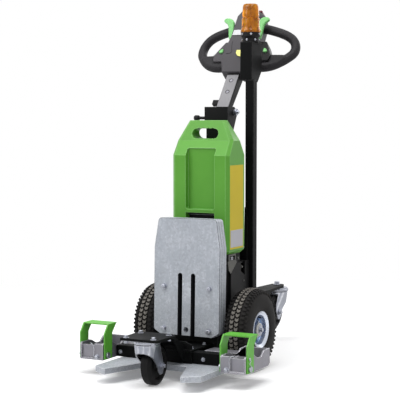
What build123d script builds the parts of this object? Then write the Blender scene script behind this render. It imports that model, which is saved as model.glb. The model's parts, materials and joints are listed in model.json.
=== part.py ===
"""Walk-behind electric tow tractor, one solid per piece.

Millimetres, +X to the right seen from the front, -Y the coupling end, +Z up.
Distances along Y are measured from the drive axle and moved by AXLE_Y.
"""
from build123d import *
import math
import os

os.makedirs("parts", exist_ok=True)

AXLE_Y = -86.0

TYRE_R, TYRE_HALF, TRACK_HALF = 130.0, 40.5, 161.0
RIM_SEAT_R, RIM_FLANGE_R, RIM_HALF, DISH = 51.0, 59.0, 35.0, 8.0
AXLE_R, HUB_R, RUN_GAP = 10.0, 22.0, 0.05

BASE_LOW, BASE_TOP = 31.0, 49.0
SIDE_GAP, PLATE_GAP, GRIP_GAP = 24.5, 5.5, 0.5
CHASSIS_HALF = TRACK_HALF - TYRE_HALF - SIDE_GAP
CHASSIS_BACK, CHASSIS_TOP, WALL, STEP = 123.0, 333.0, 5.0, 10.0
SIDE_FRONT, SIDE_LEVEL, SIDE_TOP_FRONT = -10.0, 299.0, 26.0
BAR_FRONT, BAR_BACK, BAR_TOP = -219.0, -184.0, 86.0

PLATE_T, PLATE_LEAN, PLATE_FRONT, PLATE_MIDDLE = 15.0, 1.56, -128.0, 300.0
PLATE_HALF = TRACK_HALF - TYRE_HALF - PLATE_GAP
PLATE_LOW, PLATE_TOP = 116.0, 482.0

LATCH_T, TRAY_LOW = 3.0, CHASSIS_TOP + 3.0
BOX_HALF = CHASSIS_HALF + 5.0
BOX_LOW, BOX_SHOULDER, BOX_TOP = 364.0, 676.0, 786.0
BOX_FRONT, BOX_BACK = -39.0, 87.0

MAST_TOP, BEACON_LOW, LENS_LOW, LENS_TOP = 916.0, 1038.0, 1070.0, 1162.0
BEACON_X, BEACON_Y = CHASSIS_HALF - 16.0, CHASSIS_BACK + 42.0

TILT_Y, TILT_Z, TILT_LEAN = 127.0, 812.0, 37.0
PIVOT_R, ARM_HALF, ARM_FRONT, ARM_END = 6.0, 23.0, 13.0, 147.0
TUBE_R, LEVER_LEAN = 16.5, 23.5

CASTER_R, CASTER_HALF, CASTER_TRAIL, CASTER_GAP = 60.0, 17.5, 42.0, 5.5
CASTER_PIN_R, CASTER_AXLE_R = 8.0, 6.0
FRONT_SWIVEL, REAR_SWIVEL = (-378.0, 60.0), (561.0, 103.0)
CROWN_LOW, CROWN_TOP, HEAD_LOW, HEAD_TOP, HEAD_R = 65.0, 69.0, 69.5, 83.0, 38.0

GRIP_IN, GRIP_T, GRIP_WIDE = TRACK_HALF + TYRE_HALF + GRIP_GAP, 5.0, 82.0
GRIP_OUT = GRIP_IN + GRIP_WIDE
GRIP_FRONT, GRIP_BACK, GRIP_TOP = -298.0, -125.0, 100.0
LEVER_T, LEVER_Y, LEVER_Z, LEVER_PIN_R = 4.0, -278.0, 62.0, 5.0


def side_plane(x=0.0):
    """Sketch plane with local axes Y and Z, looking along X."""
    return Plane(origin=(x, AXLE_Y, 0), x_dir=(0, 1, 0), z_dir=(1, 0, 0))


def floor_plane(z=0.0):
    """Sketch plane with local axes X and Y at height z."""
    return Plane(origin=(0, AXLE_Y, z), x_dir=(1, 0, 0), z_dir=(0, 0, 1))


def front_plane(y=0.0):
    """Sketch plane with local axes X and Z at y, extruded toward the coupling."""
    return Plane(origin=(0, AXLE_Y + y, 0), x_dir=(1, 0, 0), z_dir=(0, -1, 0))


def outline(plane, points, radius=0.0):
    """Closed face through the points, with every corner rounded by radius."""
    with BuildSketch(plane, mode=Mode.PRIVATE) as sketch:
        with BuildLine():
            Polyline(*points, close=True)
        make_face()
        if radius:
            fillet(sketch.vertices(), radius)
    return sketch.sketch


def prism(plane, points, amount, radius=0.0, both=False, mode=Mode.ADD):
    """Extrude a closed outline from its plane."""
    extrude(outline(plane, points, radius), amount=amount, both=both, mode=mode)


def slab(x, y, z, mode=Mode.ADD):
    """Box between the pairs x, y and z."""
    with Locations((sum(x) / 2, AXLE_Y + sum(y) / 2, sum(z) / 2)):
        Box(x[1] - x[0], y[1] - y[0], z[1] - z[0], mode=mode)


def rod(x, y, z, radius, mode=Mode.ADD):
    """Cylinder along X between the pair x."""
    with Locations(Location(((x[0] + x[1]) / 2, AXLE_Y + y, z), (0, 90, 0))):
        Cylinder(radius, x[1] - x[0], mode=mode)


def bore(x, y, z, radius, depth, mode=Mode.SUBTRACT):
    """Cylinder along Y centred on the point."""
    with Locations(Location((x, AXLE_Y + y, z), (90, 0, 0))):
        Cylinder(radius, depth, mode=mode)


def post(x, y, z, radius, mode=Mode.ADD):
    """Cylinder along Z between the pair z."""
    with Locations((x, AXLE_Y + y, (z[0] + z[1]) / 2)):
        Cylinder(radius, z[1] - z[0], mode=mode)


def turned_x(points, x, y, z, mode=Mode.ADD):
    """Revolve an outline of (along X, radius) points about the X axis through y, z."""
    plane = Plane(origin=(x, AXLE_Y + y, z), x_dir=(1, 0, 0), z_dir=(0, -1, 0))
    revolve(outline(plane, points), axis=Axis((x, AXLE_Y + y, z), (1, 0, 0)), mode=mode)


def turned_z(points, x, y, mode=Mode.ADD):
    """Revolve an outline of (radius, height) points about the Z axis through x, y."""
    plane = Plane(origin=(x, AXLE_Y + y, 0), x_dir=(1, 0, 0), z_dir=(0, -1, 0))
    revolve(outline(plane, points), axis=Axis((x, AXLE_Y + y, 0), (0, 0, 1)), mode=mode)


def tilted(u, n):
    """Side-plane point (y, z) of the tiller frame: u along the arm, n to its front."""
    s, c = math.sin(math.radians(TILT_LEAN)), math.cos(math.radians(TILT_LEAN))
    return (TILT_Y + u * s - n * c, TILT_Z + u * c + n * s)


def tiller_point(x, u, n):
    """Point of the tiller frame in space."""
    y, z = tilted(u, n)
    return Vector(x, AXLE_Y + y, z)


def across_tiller(u=0.0):
    """Plane across the arm at u, local axes X and the tiller's back."""
    lean = math.radians(TILT_LEAN)
    return Plane(origin=tiller_point(0, u, 0), x_dir=(1, 0, 0),
                 z_dir=(0, math.sin(lean), math.cos(lean)))


def along_tiller(n=0.0):
    """Plane along the tiller at n, local axes X and u, looking out of its front."""
    lean = math.radians(TILT_LEAN)
    return Plane(origin=tiller_point(0, 0, n), x_dir=(1, 0, 0),
                 z_dir=(0, -math.cos(lean), math.sin(lean)))


def both_sides(points):
    """Close a half outline given from bottom to top by its mirror image in X."""
    return list(points) + [(-x, y) for x, y in reversed(points)]


def ruled_stack(faces):
    """Join closed faces one after the other with straight walls."""
    for low, high in zip(faces, faces[1:]):
        loft([low, high], ruled=True)


def save(builder, name):
    """Label a finished piece and write it."""
    builder.part.label = name
    export_step(builder.part, f"parts/{name}.step")


def base_plate():
    wing, waist = GRIP_IN - 22, CHASSIS_HALF + 12
    half = [(74, -266), (128, -408), (136, -408), (wing, -376), (wing, -138), (waist, -112),
            (waist, 60)]
    with BuildPart() as piece:
        prism(floor_plane(BASE_LOW), both_sides(half), BASE_TOP - BASE_LOW)
    save(piece, "base_plate")


def ballast_back(z):
    """Y of the leaning back face of the ballast stack at height z."""
    lean = math.radians(PLATE_LEAN)
    depth = 3 * PLATE_T
    rise = z - PLATE_MIDDLE + depth * math.sin(lean)
    return PLATE_FRONT + depth * math.cos(lean) + rise * math.tan(lean)


def chassis():
    knee = SIDE_LEVEL - 9
    core = [(ballast_back(BASE_TOP), BASE_TOP), (CHASSIS_BACK, BASE_TOP),
            (CHASSIS_BACK, CHASSIS_TOP), (SIDE_FRONT - 40, CHASSIS_TOP), (ballast_back(knee), knee)]
    front, back = ballast_back(BASE_TOP) + 1.4 * WALL, CHASSIS_BACK - WALL
    low, high = BASE_TOP + WALL, CHASSIS_TOP - WALL
    room = [(front, low), (back, low), (back, high), (SIDE_FRONT - 42, high),
            (ballast_back(knee) + WALL, knee - 2)]
    sheet = [(SIDE_FRONT, BASE_TOP), (CHASSIS_BACK, BASE_TOP), (CHASSIS_BACK, CHASSIS_TOP),
             (SIDE_TOP_FRONT, CHASSIS_TOP), (SIDE_FRONT, SIDE_LEVEL)]
    behind = [(SIDE_FRONT + WALL, low), (back, low), (back, high),
              (SIDE_TOP_FRONT + 2, high), (SIDE_FRONT + WALL, SIDE_LEVEL - 2)]
    notch = [(63, CHASSIS_TOP + 1), (63, CHASSIS_TOP - 30), (93, CHASSIS_TOP - 46),
             (93, CHASSIS_TOP + 1)]
    with BuildPart() as piece:
        prism(side_plane(), core, CHASSIS_HALF - STEP, both=True)
        prism(side_plane(), sheet, CHASSIS_HALF, both=True)
        prism(side_plane(), room, CHASSIS_HALF - STEP - WALL, both=True, mode=Mode.SUBTRACT)
        prism(side_plane(), behind, CHASSIS_HALF - WALL, both=True, mode=Mode.SUBTRACT)
        for x in (-CHASSIS_HALF - 1, CHASSIS_HALF - WALL - 1):
            prism(side_plane(x), notch, WALL + 2, mode=Mode.SUBTRACT)
        rod((-CHASSIS_HALF - 1, CHASSIS_HALF + 1), 0, TYRE_R, AXLE_R + RUN_GAP,
            mode=Mode.SUBTRACT)
    save(piece, "chassis")


def transaxle():
    inside = CHASSIS_HALF - STEP - WALL
    with BuildPart() as piece:
        rod((-inside, inside), 0, TYRE_R, 42)
        rod((-30, 30), 0, TYRE_R, 62)
        slab((-28, 28), (0, 105), (TYRE_R - 35, TYRE_R + 35))
        rod((-inside - 1, inside + 1), 0, TYRE_R, AXLE_R + RUN_GAP, mode=Mode.SUBTRACT)
    save(piece, "transaxle")
    end = TRACK_HALF + DISH + 18
    with BuildPart() as piece:
        rod((-end, end), 0, TYRE_R, AXLE_R)
        for x in (-end - 8, end):
            rod((x, x + 8), 0, TYRE_R, 16)
    save(piece, "drive_axle")


def ballast_plates():
    half = [(PLATE_HALF - 24, PLATE_LOW), (PLATE_HALF, PLATE_LOW + 14),
            (PLATE_HALF, PLATE_TOP - 91), (PLATE_HALF - 14, PLATE_TOP)]
    pivot = (0, AXLE_Y + PLATE_FRONT, PLATE_MIDDLE)
    lean = Pos(*pivot) * Rot(X=-PLATE_LEAN) * Pos(*pivot).inverse()
    reach = (PLATE_FRONT - 12, PLATE_FRONT + 58)
    for index in range(3):
        with BuildPart() as piece:
            plane = front_plane(PLATE_FRONT + PLATE_T * (index + 1))
            prism(plane, both_sides(half), PLATE_T, radius=11)
            for x in (-22.7, 22.7):
                slab((x - 7, x + 7), reach, (PLATE_LOW - 16, PLATE_MIDDLE + 4), mode=Mode.SUBTRACT)
                bore(x, sum(reach) / 2, PLATE_MIDDLE + 4, 7, 80)
            bore(0, sum(reach) / 2, PLATE_LOW + 19, 7.5, 80)
        leaned = piece.part.moved(lean)
        leaned.label = f"ballast_plate_{index + 1}"
        export_step(leaned, f"parts/ballast_plate_{index + 1}.step")


BOX_SECTIONS = [  # z, inset of the side, front y, back y, corner
    (BOX_LOW, 9, BOX_FRONT + 9, BOX_BACK - 14, 7),
    (BOX_LOW + 10, 1, BOX_FRONT + 1, BOX_BACK - 3, 10),
    (BOX_LOW + 26, 0, BOX_FRONT, BOX_BACK, 11),
    (BOX_SHOULDER, 0, BOX_FRONT, BOX_BACK, 11),
    (BOX_SHOULDER + 46, 2, BOX_FRONT + 31, BOX_BACK - 30, 10),
    (BOX_TOP, 37, BOX_FRONT + 48, BOX_BACK - 50, 8),
]
GRIP_SLOT = (BOX_HALF - 54, BOX_TOP - 58, BOX_TOP - 26)
SOCKET_HALF, SOCKET_TOP, SOCKET_FIT = BOX_HALF - 50, BOX_LOW + 130, 0.3


def battery_box():
    slot_half, slot_low, slot_high = GRIP_SLOT
    radius = (slot_high - slot_low) / 2
    middle = (slot_low + slot_high) / 2
    recess = both_sides([(SOCKET_HALF - 4, SOCKET_TOP + 11), (SOCKET_HALF, SOCKET_TOP + 15),
                         (SOCKET_HALF, BOX_SHOULDER + 18), (SOCKET_HALF - 4, BOX_SHOULDER + 22)])
    with BuildPart() as piece:
        faces = []
        for z, inset, front, back, c in BOX_SECTIONS:
            half = BOX_HALF - inset
            points = [(half - c, front), (half, front + c), (half, back - c), (half - c, back)]
            faces.append(outline(floor_plane(z), both_sides(points)))
        ruled_stack(faces)
        prism(front_plane(BOX_FRONT + 19), recess, 40, mode=Mode.SUBTRACT)
        slab((-SOCKET_HALF, SOCKET_HALF), (BOX_FRONT - 20, BOX_FRONT + 44),
             (BOX_LOW - 20, SOCKET_TOP), mode=Mode.SUBTRACT)
        slab((radius - slot_half, slot_half - radius), (-60, 100), (slot_low, slot_high),
             mode=Mode.SUBTRACT)
        for x in (radius - slot_half, slot_half - radius):
            bore(x, 20, middle, radius, 200)
        for x in (-24, -8, 8, 24):
            bore(x, 20, slot_high - 5, 7.6, 200)
    save(piece, "battery_box")
    fit = SOCKET_FIT
    with BuildPart() as piece:
        slab((fit - SOCKET_HALF, SOCKET_HALF - fit), (BOX_FRONT + 27, BOX_FRONT + 44 - fit),
             (BOX_LOW + fit, SOCKET_TOP - fit))
    save(piece, "battery_socket")
    with BuildPart() as piece:
        slab((8 - CHASSIS_HALF, CHASSIS_HALF - 8), (BOX_FRONT + 11, BOX_BACK - 16),
             (TRAY_LOW, BOX_LOW))
    save(piece, "battery_tray")
    side = [(-38, TRAY_LOW + 7), (19, TRAY_LOW + 4), (26, TRAY_LOW), (-17, TRAY_LOW - 33),
            (-31, TRAY_LOW - 19)]
    edge = CHASSIS_HALF
    with BuildPart() as piece:
        slab((-edge - LATCH_T, edge + LATCH_T), (-34, 22), (CHASSIS_TOP, TRAY_LOW))
        for x in (-edge - LATCH_T, edge):
            prism(side_plane(x), side, LATCH_T)
            slab((x, x + LATCH_T), (-31, 19), (TRAY_LOW, BOX_LOW))
            slab((x, x + LATCH_T), (-25, 13), (TRAY_LOW + 9, BOX_LOW - 5), mode=Mode.SUBTRACT)
    save(piece, "latch")


def tiller_bracket():
    side = [(88, CHASSIS_TOP), (122, CHASSIS_TOP), (116, TILT_Z - 62), (147, TILT_Z - 3),
            (124, TILT_Z + 17), (75, TILT_Z + 17), (75, TILT_Z - 34), (88, TILT_Z - 42)]
    with BuildPart() as piece:
        prism(side_plane(), side, 42, both=True)
        slab((-30, 30), (81, 160), (TILT_Z - 42, TILT_Z + 28), mode=Mode.SUBTRACT)
        rod((-60, 60), TILT_Y, TILT_Z, PIVOT_R, mode=Mode.SUBTRACT)
    save(piece, "tiller_bracket")
    with BuildPart() as piece:
        rod((-42, 42), TILT_Y, TILT_Z, PIVOT_R)
        for x in (-50, 42):
            rod((x, x + 8), TILT_Y, TILT_Z, 11)
    save(piece, "tilt_bolt")
    knob = [(0, 0), (0, 7), (3, 9), (15, 9), (18, 6), (18, 0)]
    with BuildPart() as piece:
        rod((-73, -42), 98, TILT_Z - 19, 5)
        turned_x(knob, -90, 98, TILT_Z - 19)
    save(piece, "tilt_knob")


def tiller_arm():
    side = [tilted(u, n) for u, n in ((-14, ARM_FRONT), (ARM_END, ARM_FRONT), (ARM_END, -17),
                                      (26, -8), (-8, -13), (-14, -6))]
    insert = [tilted(u, n) for u, n in ((10, ARM_FRONT), (10, ARM_FRONT + 3),
                                        (ARM_END - 5, ARM_FRONT + 3), (ARM_END - 5, ARM_FRONT))]
    lug = [tilted(u, n) for u, n in ((24, -2), (24, 12), (41, 12), (41, -2))]
    holes = [Location(along_tiller(0) * Pos(0, u, 0)) for u in (71.6, 118.6)]
    with BuildPart() as piece:
        prism(side_plane(), side, ARM_HALF, both=True)
        prism(side_plane(-ARM_HALF - 21), lug, 22)
        rod((-60, 60), TILT_Y, TILT_Z, PIVOT_R + RUN_GAP, mode=Mode.SUBTRACT)
        with Locations(*holes):
            Cylinder(6.5, 80, mode=Mode.SUBTRACT)
    save(piece, "tiller_arm")
    with BuildPart() as piece:
        prism(side_plane(), insert, ARM_HALF - 2, both=True)
        with Locations(*holes):
            Cylinder(6.5, 80, mode=Mode.SUBTRACT)
    save(piece, "arm_insert")


HEAD_SECTIONS = [  # u, half-width at the back, half-width at the front, back n, front n
    (ARM_END, 43, 41, -20, 25),
    (192, 56, 52, -38, 36),
    (236, 57, 44, -38, 45),
    (285, 52, 37, -36, 46),
    (373, 52, 38, -26, 46),
    (397, 46, 34, -10, 38),
]
SHOULDER = [(100, 209), (104, 222), (104, 238), (97, 252), (76, 293)]


def tiller_head():
    faces = []
    for u, back_half, front_half, back, front in HEAD_SECTIONS:
        points = [(front_half, -front), (back_half, 6 - front * 0.55), (back_half, -back)]
        faces.append(outline(across_tiller(u), both_sides(points), 6))
    with BuildPart() as piece:
        ruled_stack(faces)
        prism(along_tiller(-40), both_sides(SHOULDER), 45)
    return piece


GRIP_PATH = [(112, 210, -17), (172, 258, -32), (171, 306, -33), (118, 345, -15), (20, 348, 6)]
FIN = [(45, 184), (100, 186), (120, 192), (140, 205), (160, 225), (150, 250), (134, 257),
       (108, 247), (64, 240), (45, 240)]


def fin_rims(piece):
    """Edges round the front and back faces of the fin."""
    normal = along_tiller().z_dir
    faces = piece.faces().filter_by(lambda face: abs(face.normal_at().dot(normal)) > 0.99)
    return faces.edges()


def tiller_handles(head):
    points = [tiller_point(*p) for p in GRIP_PATH]
    with BuildLine(mode=Mode.PRIVATE) as path:
        reach = Line(tiller_point(60, 210, -17), points[0])
        for low, high in zip(points, points[1:]):
            reach = TangentArc(low, high, tangent=reach % 1)
    start = path.line
    for name, side in (("right", 1), ("left", -1)):
        with BuildPart() as piece:
            prism(along_tiller(-36), FIN, 35)
            fillet(fin_rims(piece), 13)
            with BuildSketch(Plane(origin=start @ 0, z_dir=start % 0), mode=Mode.PRIVATE) as ring:
                Circle(TUBE_R)
            sweep(ring.sketch, path=start)
            if side < 0:
                mirror(about=Plane.YZ, mode=Mode.REPLACE)
            add(head.part, mode=Mode.SUBTRACT)
        save(piece, f"handle_{name}")


def tiller_controls(head):
    lever = [(44, -6), (60, -6), (60, 2), (66, 37), (84.5, 54), (84.5, 68), (76, 72), (44, 72)]
    lean = math.radians(TILT_LEAN - LEVER_LEAN)
    plane = Plane(origin=tiller_point(0, 300, 18), x_dir=(1, 0, 0),
                  z_dir=(0, -math.cos(lean), math.sin(lean)))
    for name, side in (("right", 1), ("left", -1)):
        with BuildPart() as piece:
            prism(plane, [(side * x, s) for x, s in lever], 6, both=True)
            add(head.part, mode=Mode.SUBTRACT)
        save(piece, f"thumb_lever_{name}")
    with BuildPart() as piece:
        faces = [outline(across_tiller(u), both_sides([(half, -front), (half, -back)]), 4)
                 for u, half, back, front in ((397, 40, -2, 34), (405, 38, 0, 32), (410, 30, 4, 26))]
        ruled_stack(faces)
    save(piece, "reverse_button")
    with BuildPart() as piece:
        prism(along_tiller(46), both_sides([(33, 286), (34, 322)]), 1.5)
    save(piece, "display_panel")


def mast():
    low_x, high_x = CHASSIS_HALF - 15, CHASSIS_HALF + 14
    with BuildPart() as piece:
        slab((low_x, high_x), (CHASSIS_BACK, CHASSIS_BACK + 30), (BASE_TOP + 11, MAST_TOP))
    save(piece, "mast_post")
    near, far = CHASSIS_BACK + 5, CHASSIS_BACK + 85
    side = [(near, MAST_TOP), (CHASSIS_BACK + 53, MAST_TOP - 8), (far, MAST_TOP + 30),
            (far, BEACON_LOW), (near, BEACON_LOW)]
    with BuildPart() as piece:
        prism(side_plane(BEACON_X - 20), side, 41)
        slab((low_x - 1, high_x + 1), (CHASSIS_BACK, CHASSIS_BACK + 31), (MAST_TOP - 16, MAST_TOP),
             mode=Mode.SUBTRACT)
    save(piece, "beacon_bracket")
    foot = [(0, BEACON_LOW), (27, BEACON_LOW), (27, BEACON_LOW + 14), (31.5, BEACON_LOW + 18),
            (31.5, LENS_LOW), (0, LENS_LOW)]
    lens = [(0, LENS_LOW), (33, LENS_LOW), (33, LENS_LOW + 5), (29.5, LENS_LOW + 13),
            (29.5, LENS_LOW + 46), (27, LENS_LOW + 50), (25, LENS_TOP - 6), (20, LENS_TOP),
            (0, LENS_TOP)]
    for name, shape in (("beacon_base", foot), ("beacon_lens", lens)):
        with BuildPart() as piece:
            turned_z(shape, BEACON_X, BEACON_Y)
        save(piece, name)


def coupling_bar():
    with BuildPart() as piece:
        slab((-GRIP_IN, GRIP_IN), (BAR_FRONT, BAR_BACK), (BASE_TOP, BAR_TOP))
    save(piece, "crossbar")


def front_bracket():
    low = FRONT_SWIVEL[1] + HEAD_TOP
    plate = both_sides([(60.6, -431), (67, -324), (47, -303)])
    cover = [(-306, low), (-303, low + 8), (-282, low - 9), (BAR_FRONT, 106), (BAR_FRONT, 98),
             (-284, low - 17)]
    web = cover[:4] + [(BAR_FRONT, BASE_TOP), (-227, BASE_TOP), (-266, 96), (-290, low - 17)]
    flange = both_sides([(69, BASE_TOP), (69, 107), (47, 116)])
    shelf = both_sides([(72, BAR_FRONT - 12), (72, ballast_back(BAR_TOP) - 1)])
    with BuildPart() as piece:
        prism(floor_plane(low), plate, 8)
        prism(side_plane(), cover, 47, both=True)
        for x in (-47, 41):
            prism(side_plane(x), web, 6)
        prism(front_plane(BAR_FRONT), flange, 8)
        prism(floor_plane(BAR_TOP), shelf, 6)
    save(piece, "front_bracket")


def bell_section(z, half, low, high):
    """Long twelve-sided section of a fork with its flats half away from the middle."""
    radius = half / math.cos(math.radians(15))
    turns = [(math.cos(math.radians(a)), math.sin(math.radians(a))) for a in (75, 45, 15)]
    near = [(radius * c, low + half - radius * s) for c, s in turns]
    far = [(radius * c, high - half + radius * s) for c, s in reversed(turns)]
    return outline(floor_plane(z), both_sides(near + far))


def fork_bell(swivel_y, axle_z, way, shrink):
    """Solid of a caster fork: round under the crown, narrow and straight at the axle."""
    low_half = CASTER_HALF + CASTER_GAP + 4
    faces = []
    for z, half, back, front in ((CROWN_TOP - shrink, HEAD_R - 1.3, 38, 42),
                                 (12, low_half, 34, 70), (-28, low_half, 30, 82)):
        low, high = sorted((swivel_y - way * (back - shrink), swivel_y + way * (front - shrink)))
        faces.append(bell_section(axle_z + z, half - shrink, low, high))
    ruled_stack(faces)


def caster(name, swivel_y, axle_z, way):
    axle_y = swivel_y + way * CASTER_TRAIL
    inner = CASTER_HALF + CASTER_GAP
    crown = (axle_z + CROWN_LOW, axle_z + CROWN_TOP)
    head = (axle_z + HEAD_LOW, axle_z + HEAD_TOP)
    with BuildPart() as piece:
        turned_z([(0, head[0]), (32, head[0]), (HEAD_R, head[0] + 4), (HEAD_R, head[1] - 3),
                  (0, head[1] - 3)], 0, swivel_y)
        if way > 0:
            slab((-50, 50), (swivel_y - 42, swivel_y + 42), (head[1] - 3, head[1]))
        else:
            post(0, swivel_y, (head[1] - 3, head[1]), HEAD_R)
        post(0, swivel_y, head, CASTER_PIN_R + RUN_GAP, mode=Mode.SUBTRACT)
    save(piece, f"{name}_caster_head")
    leg = [(-42, CROWN_TOP), (44, CROWN_TOP), (57, 10), (56, -8), (48, -24), (36, -26), (26, -18),
           (14, 5), (-20, 36), (-42, 50)]
    leg = [(swivel_y + way * dy, axle_z + dz) for dy, dz in leg]
    with BuildPart() as piece:
        fork_bell(swivel_y, axle_z, way, 0)
        with BuildPart(mode=Mode.SUBTRACT):
            fork_bell(swivel_y, axle_z, way, 4)
        prism(side_plane(), leg, HEAD_R + 1, both=True, mode=Mode.INTERSECT)
        post(0, swivel_y, crown, HEAD_R)
        rod((-CASTER_HALF - 5, CASTER_HALF + 5), axle_y, axle_z, CASTER_R + CASTER_GAP - 1,
            mode=Mode.SUBTRACT)
        rod((-HEAD_R, HEAD_R), axle_y, axle_z, CASTER_AXLE_R, mode=Mode.SUBTRACT)
        post(0, swivel_y, (crown[1] - 1, head[1]), CASTER_PIN_R)
    save(piece, f"{name}_caster_fork")
    with BuildPart() as piece:
        rod((-inner - 4, inner + 4), axle_y, axle_z, CASTER_AXLE_R)
        for x in (-inner - 9, inner + 4):
            rod((x, x + 5), axle_y, axle_z, 9.5)
    save(piece, f"{name}_caster_axle")
    half, rim, hub = CASTER_HALF, CASTER_R - 20, 18
    with BuildPart() as piece:
        turned_x([(-half, 0), (-half, hub - 4), (-9, hub), (-9, rim), (-half, rim + 4),
                  (-half, CASTER_R - 10), (-11, CASTER_R), (11, CASTER_R), (half, CASTER_R - 10),
                  (half, rim + 4), (9, rim), (9, hub), (half, hub - 4), (half, 0)],
                 0, axle_y, axle_z)
        rod((-30, 30), axle_y, axle_z, CASTER_AXLE_R + RUN_GAP, mode=Mode.SUBTRACT)
    save(piece, f"{name}_caster_wheel")


def rear_arm():
    low = REAR_SWIVEL[1] + HEAD_TOP
    flange = [(CHASSIS_BACK, low - 76), (CHASSIS_BACK, low), (REAR_SWIVEL[0] - 121, low),
              (REAR_SWIVEL[0] - 136, low - 12)]
    with BuildPart() as piece:
        slab((-35, 35), (CHASSIS_BACK, REAR_SWIVEL[0] + 7), (low, low + 10))
        post(0, REAR_SWIVEL[0] + 7, (low, low + 10), 35)
        for x in (-35, 29):
            prism(side_plane(x), flange, 6)
    save(piece, "rear_arm")


def drive_wheel(name, side):
    centre = side * TRACK_HALF
    half = [(RIM_HALF - 5, RIM_SEAT_R), (RIM_HALF - 1.4, RIM_FLANGE_R + 0.3),
            (TYRE_HALF - 2.5, RIM_FLANGE_R + 4), (TYRE_HALF, RIM_FLANGE_R + 19),
            (TYRE_HALF, TYRE_R - 34), (TYRE_HALF - 3.5, TYRE_R - 18), (TYRE_HALF - 8.5, TYRE_R - 8),
            (TYRE_HALF - 14.5, TYRE_R - 3), (18, TYRE_R - 1), (18, TYRE_R - 6), (14, TYRE_R - 6),
            (14, TYRE_R), (2, TYRE_R), (2, TYRE_R - 6)]
    with BuildPart() as piece:
        turned_x(half + [(-x, r) for x, r in reversed(half)], centre, 0, TYRE_R)
    save(piece, f"tyre_{name}")
    seat = RIM_SEAT_R - 0.3
    rim = [(-RIM_HALF, HUB_R), (-RIM_HALF, AXLE_R + RUN_GAP), (DISH + 17, AXLE_R + RUN_GAP),
           (DISH + 17, HUB_R), (DISH + 3, HUB_R + 2), (DISH, 40), (DISH + 10, 46),
           (RIM_HALF - 4, 47), (RIM_HALF + 2, 56), (RIM_HALF + 1, RIM_FLANGE_R),
           (RIM_HALF - 1, RIM_FLANGE_R), (RIM_HALF - 5, seat), (5 - RIM_HALF, seat),
           (1 - RIM_HALF, RIM_FLANGE_R), (-RIM_HALF - 1, RIM_FLANGE_R), (-RIM_HALF - 2, 56),
           (4 - RIM_HALF, 47), (DISH - 4, 46), (DISH - 4, HUB_R)]
    with BuildPart() as piece:
        turned_x([(side * x, r) for x, r in rim], centre, 0, TYRE_R)
    save(piece, f"rim_{name}")


GRIP_FOOT, GRIP_FLOOR = BASE_TOP - 1, BASE_TOP + 4
GRIP_SIDE = [(GRIP_FRONT, GRIP_FOOT), (GRIP_FRONT, GRIP_TOP - 5), (GRIP_FRONT + 5, GRIP_TOP),
             (GRIP_FRONT + 50, GRIP_TOP), (GRIP_FRONT + 62, GRIP_TOP - 3), (-213, GRIP_TOP - 15),
             (-187, GRIP_TOP - 16), (-166, GRIP_TOP), (GRIP_BACK - 2, GRIP_TOP + 1),
             (GRIP_BACK, GRIP_TOP - 44), (GRIP_BACK - 13, GRIP_FOOT)]


def gripper(name, side):
    inside, outside = GRIP_IN + GRIP_T, GRIP_OUT - GRIP_T
    between = (inside, outside)
    with BuildPart() as piece:
        for x in (GRIP_IN, outside):
            prism(side_plane(x), GRIP_SIDE, GRIP_T)
        slab(between, (GRIP_BACK - 7, GRIP_BACK - 2), (GRIP_FLOOR, GRIP_TOP))
        slab(between, (GRIP_FRONT + 6, GRIP_FRONT + 11), (GRIP_FLOOR, GRIP_TOP - 7))
        slab(between, (GRIP_FRONT, GRIP_BACK - 2), (GRIP_FOOT, GRIP_FLOOR))
        slab((inside, inside + 25), (GRIP_FRONT, GRIP_FRONT + 11), (GRIP_FLOOR, GRIP_TOP - 2))
        slab(between, (BAR_FRONT - 3, BAR_BACK), (GRIP_FLOOR, BAR_TOP - 7))
        wing = [(GRIP_IN, BAR_BACK), (GRIP_IN - 110, BAR_BACK), (GRIP_IN - 112, BAR_BACK + 34),
                (GRIP_IN - 108, BAR_BACK + 64), (GRIP_IN - 90, BAR_BACK + 64),
                (GRIP_IN - 80, BAR_BACK + 48), (GRIP_IN, BAR_BACK + 48)]
        prism(floor_plane(BAR_TOP - 6), wing, 6)
        rod((GRIP_IN - 10, GRIP_OUT + 10), LEVER_Y, LEVER_Z, LEVER_PIN_R, mode=Mode.SUBTRACT)
        if side < 0:
            mirror(about=Plane.YZ, mode=Mode.REPLACE)
    save(piece, f"gripper_{name}")
    low, high = GRIP_IN - 0.4 - LEVER_T, GRIP_OUT + 0.4 + LEVER_T
    top = LEVER_Z + 96
    leg = [(LEVER_Y - 15, LEVER_Z - 12), (LEVER_Y - 15, top - 28), (LEVER_Y + 6, top),
           (LEVER_Y + 56, top), (LEVER_Y + 30, top - 30), (LEVER_Y + 28, LEVER_Z - 12)]
    with BuildPart() as piece:
        prism(side_plane(low), leg, LEVER_T)
        prism(side_plane(high - LEVER_T), leg, LEVER_T)
        slab((low, high), (LEVER_Y + 6, LEVER_Y + 56), (top - LEVER_T, top))
        rod((low - 2, high + 2), LEVER_Y, LEVER_Z, LEVER_PIN_R + RUN_GAP, mode=Mode.SUBTRACT)
        if side < 0:
            mirror(about=Plane.YZ, mode=Mode.REPLACE)
    save(piece, f"lever_{name}")
    with BuildPart() as piece:
        rod((low - 0.6, high + 0.6), LEVER_Y, LEVER_Z, LEVER_PIN_R)
        rod((low - 6, low - 0.6), LEVER_Y, LEVER_Z, 9)
        rod((high + 0.6, high + 6), LEVER_Y, LEVER_Z, 9)
        if side < 0:
            mirror(about=Plane.YZ, mode=Mode.REPLACE)
    save(piece, f"lever_pin_{name}")


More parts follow.
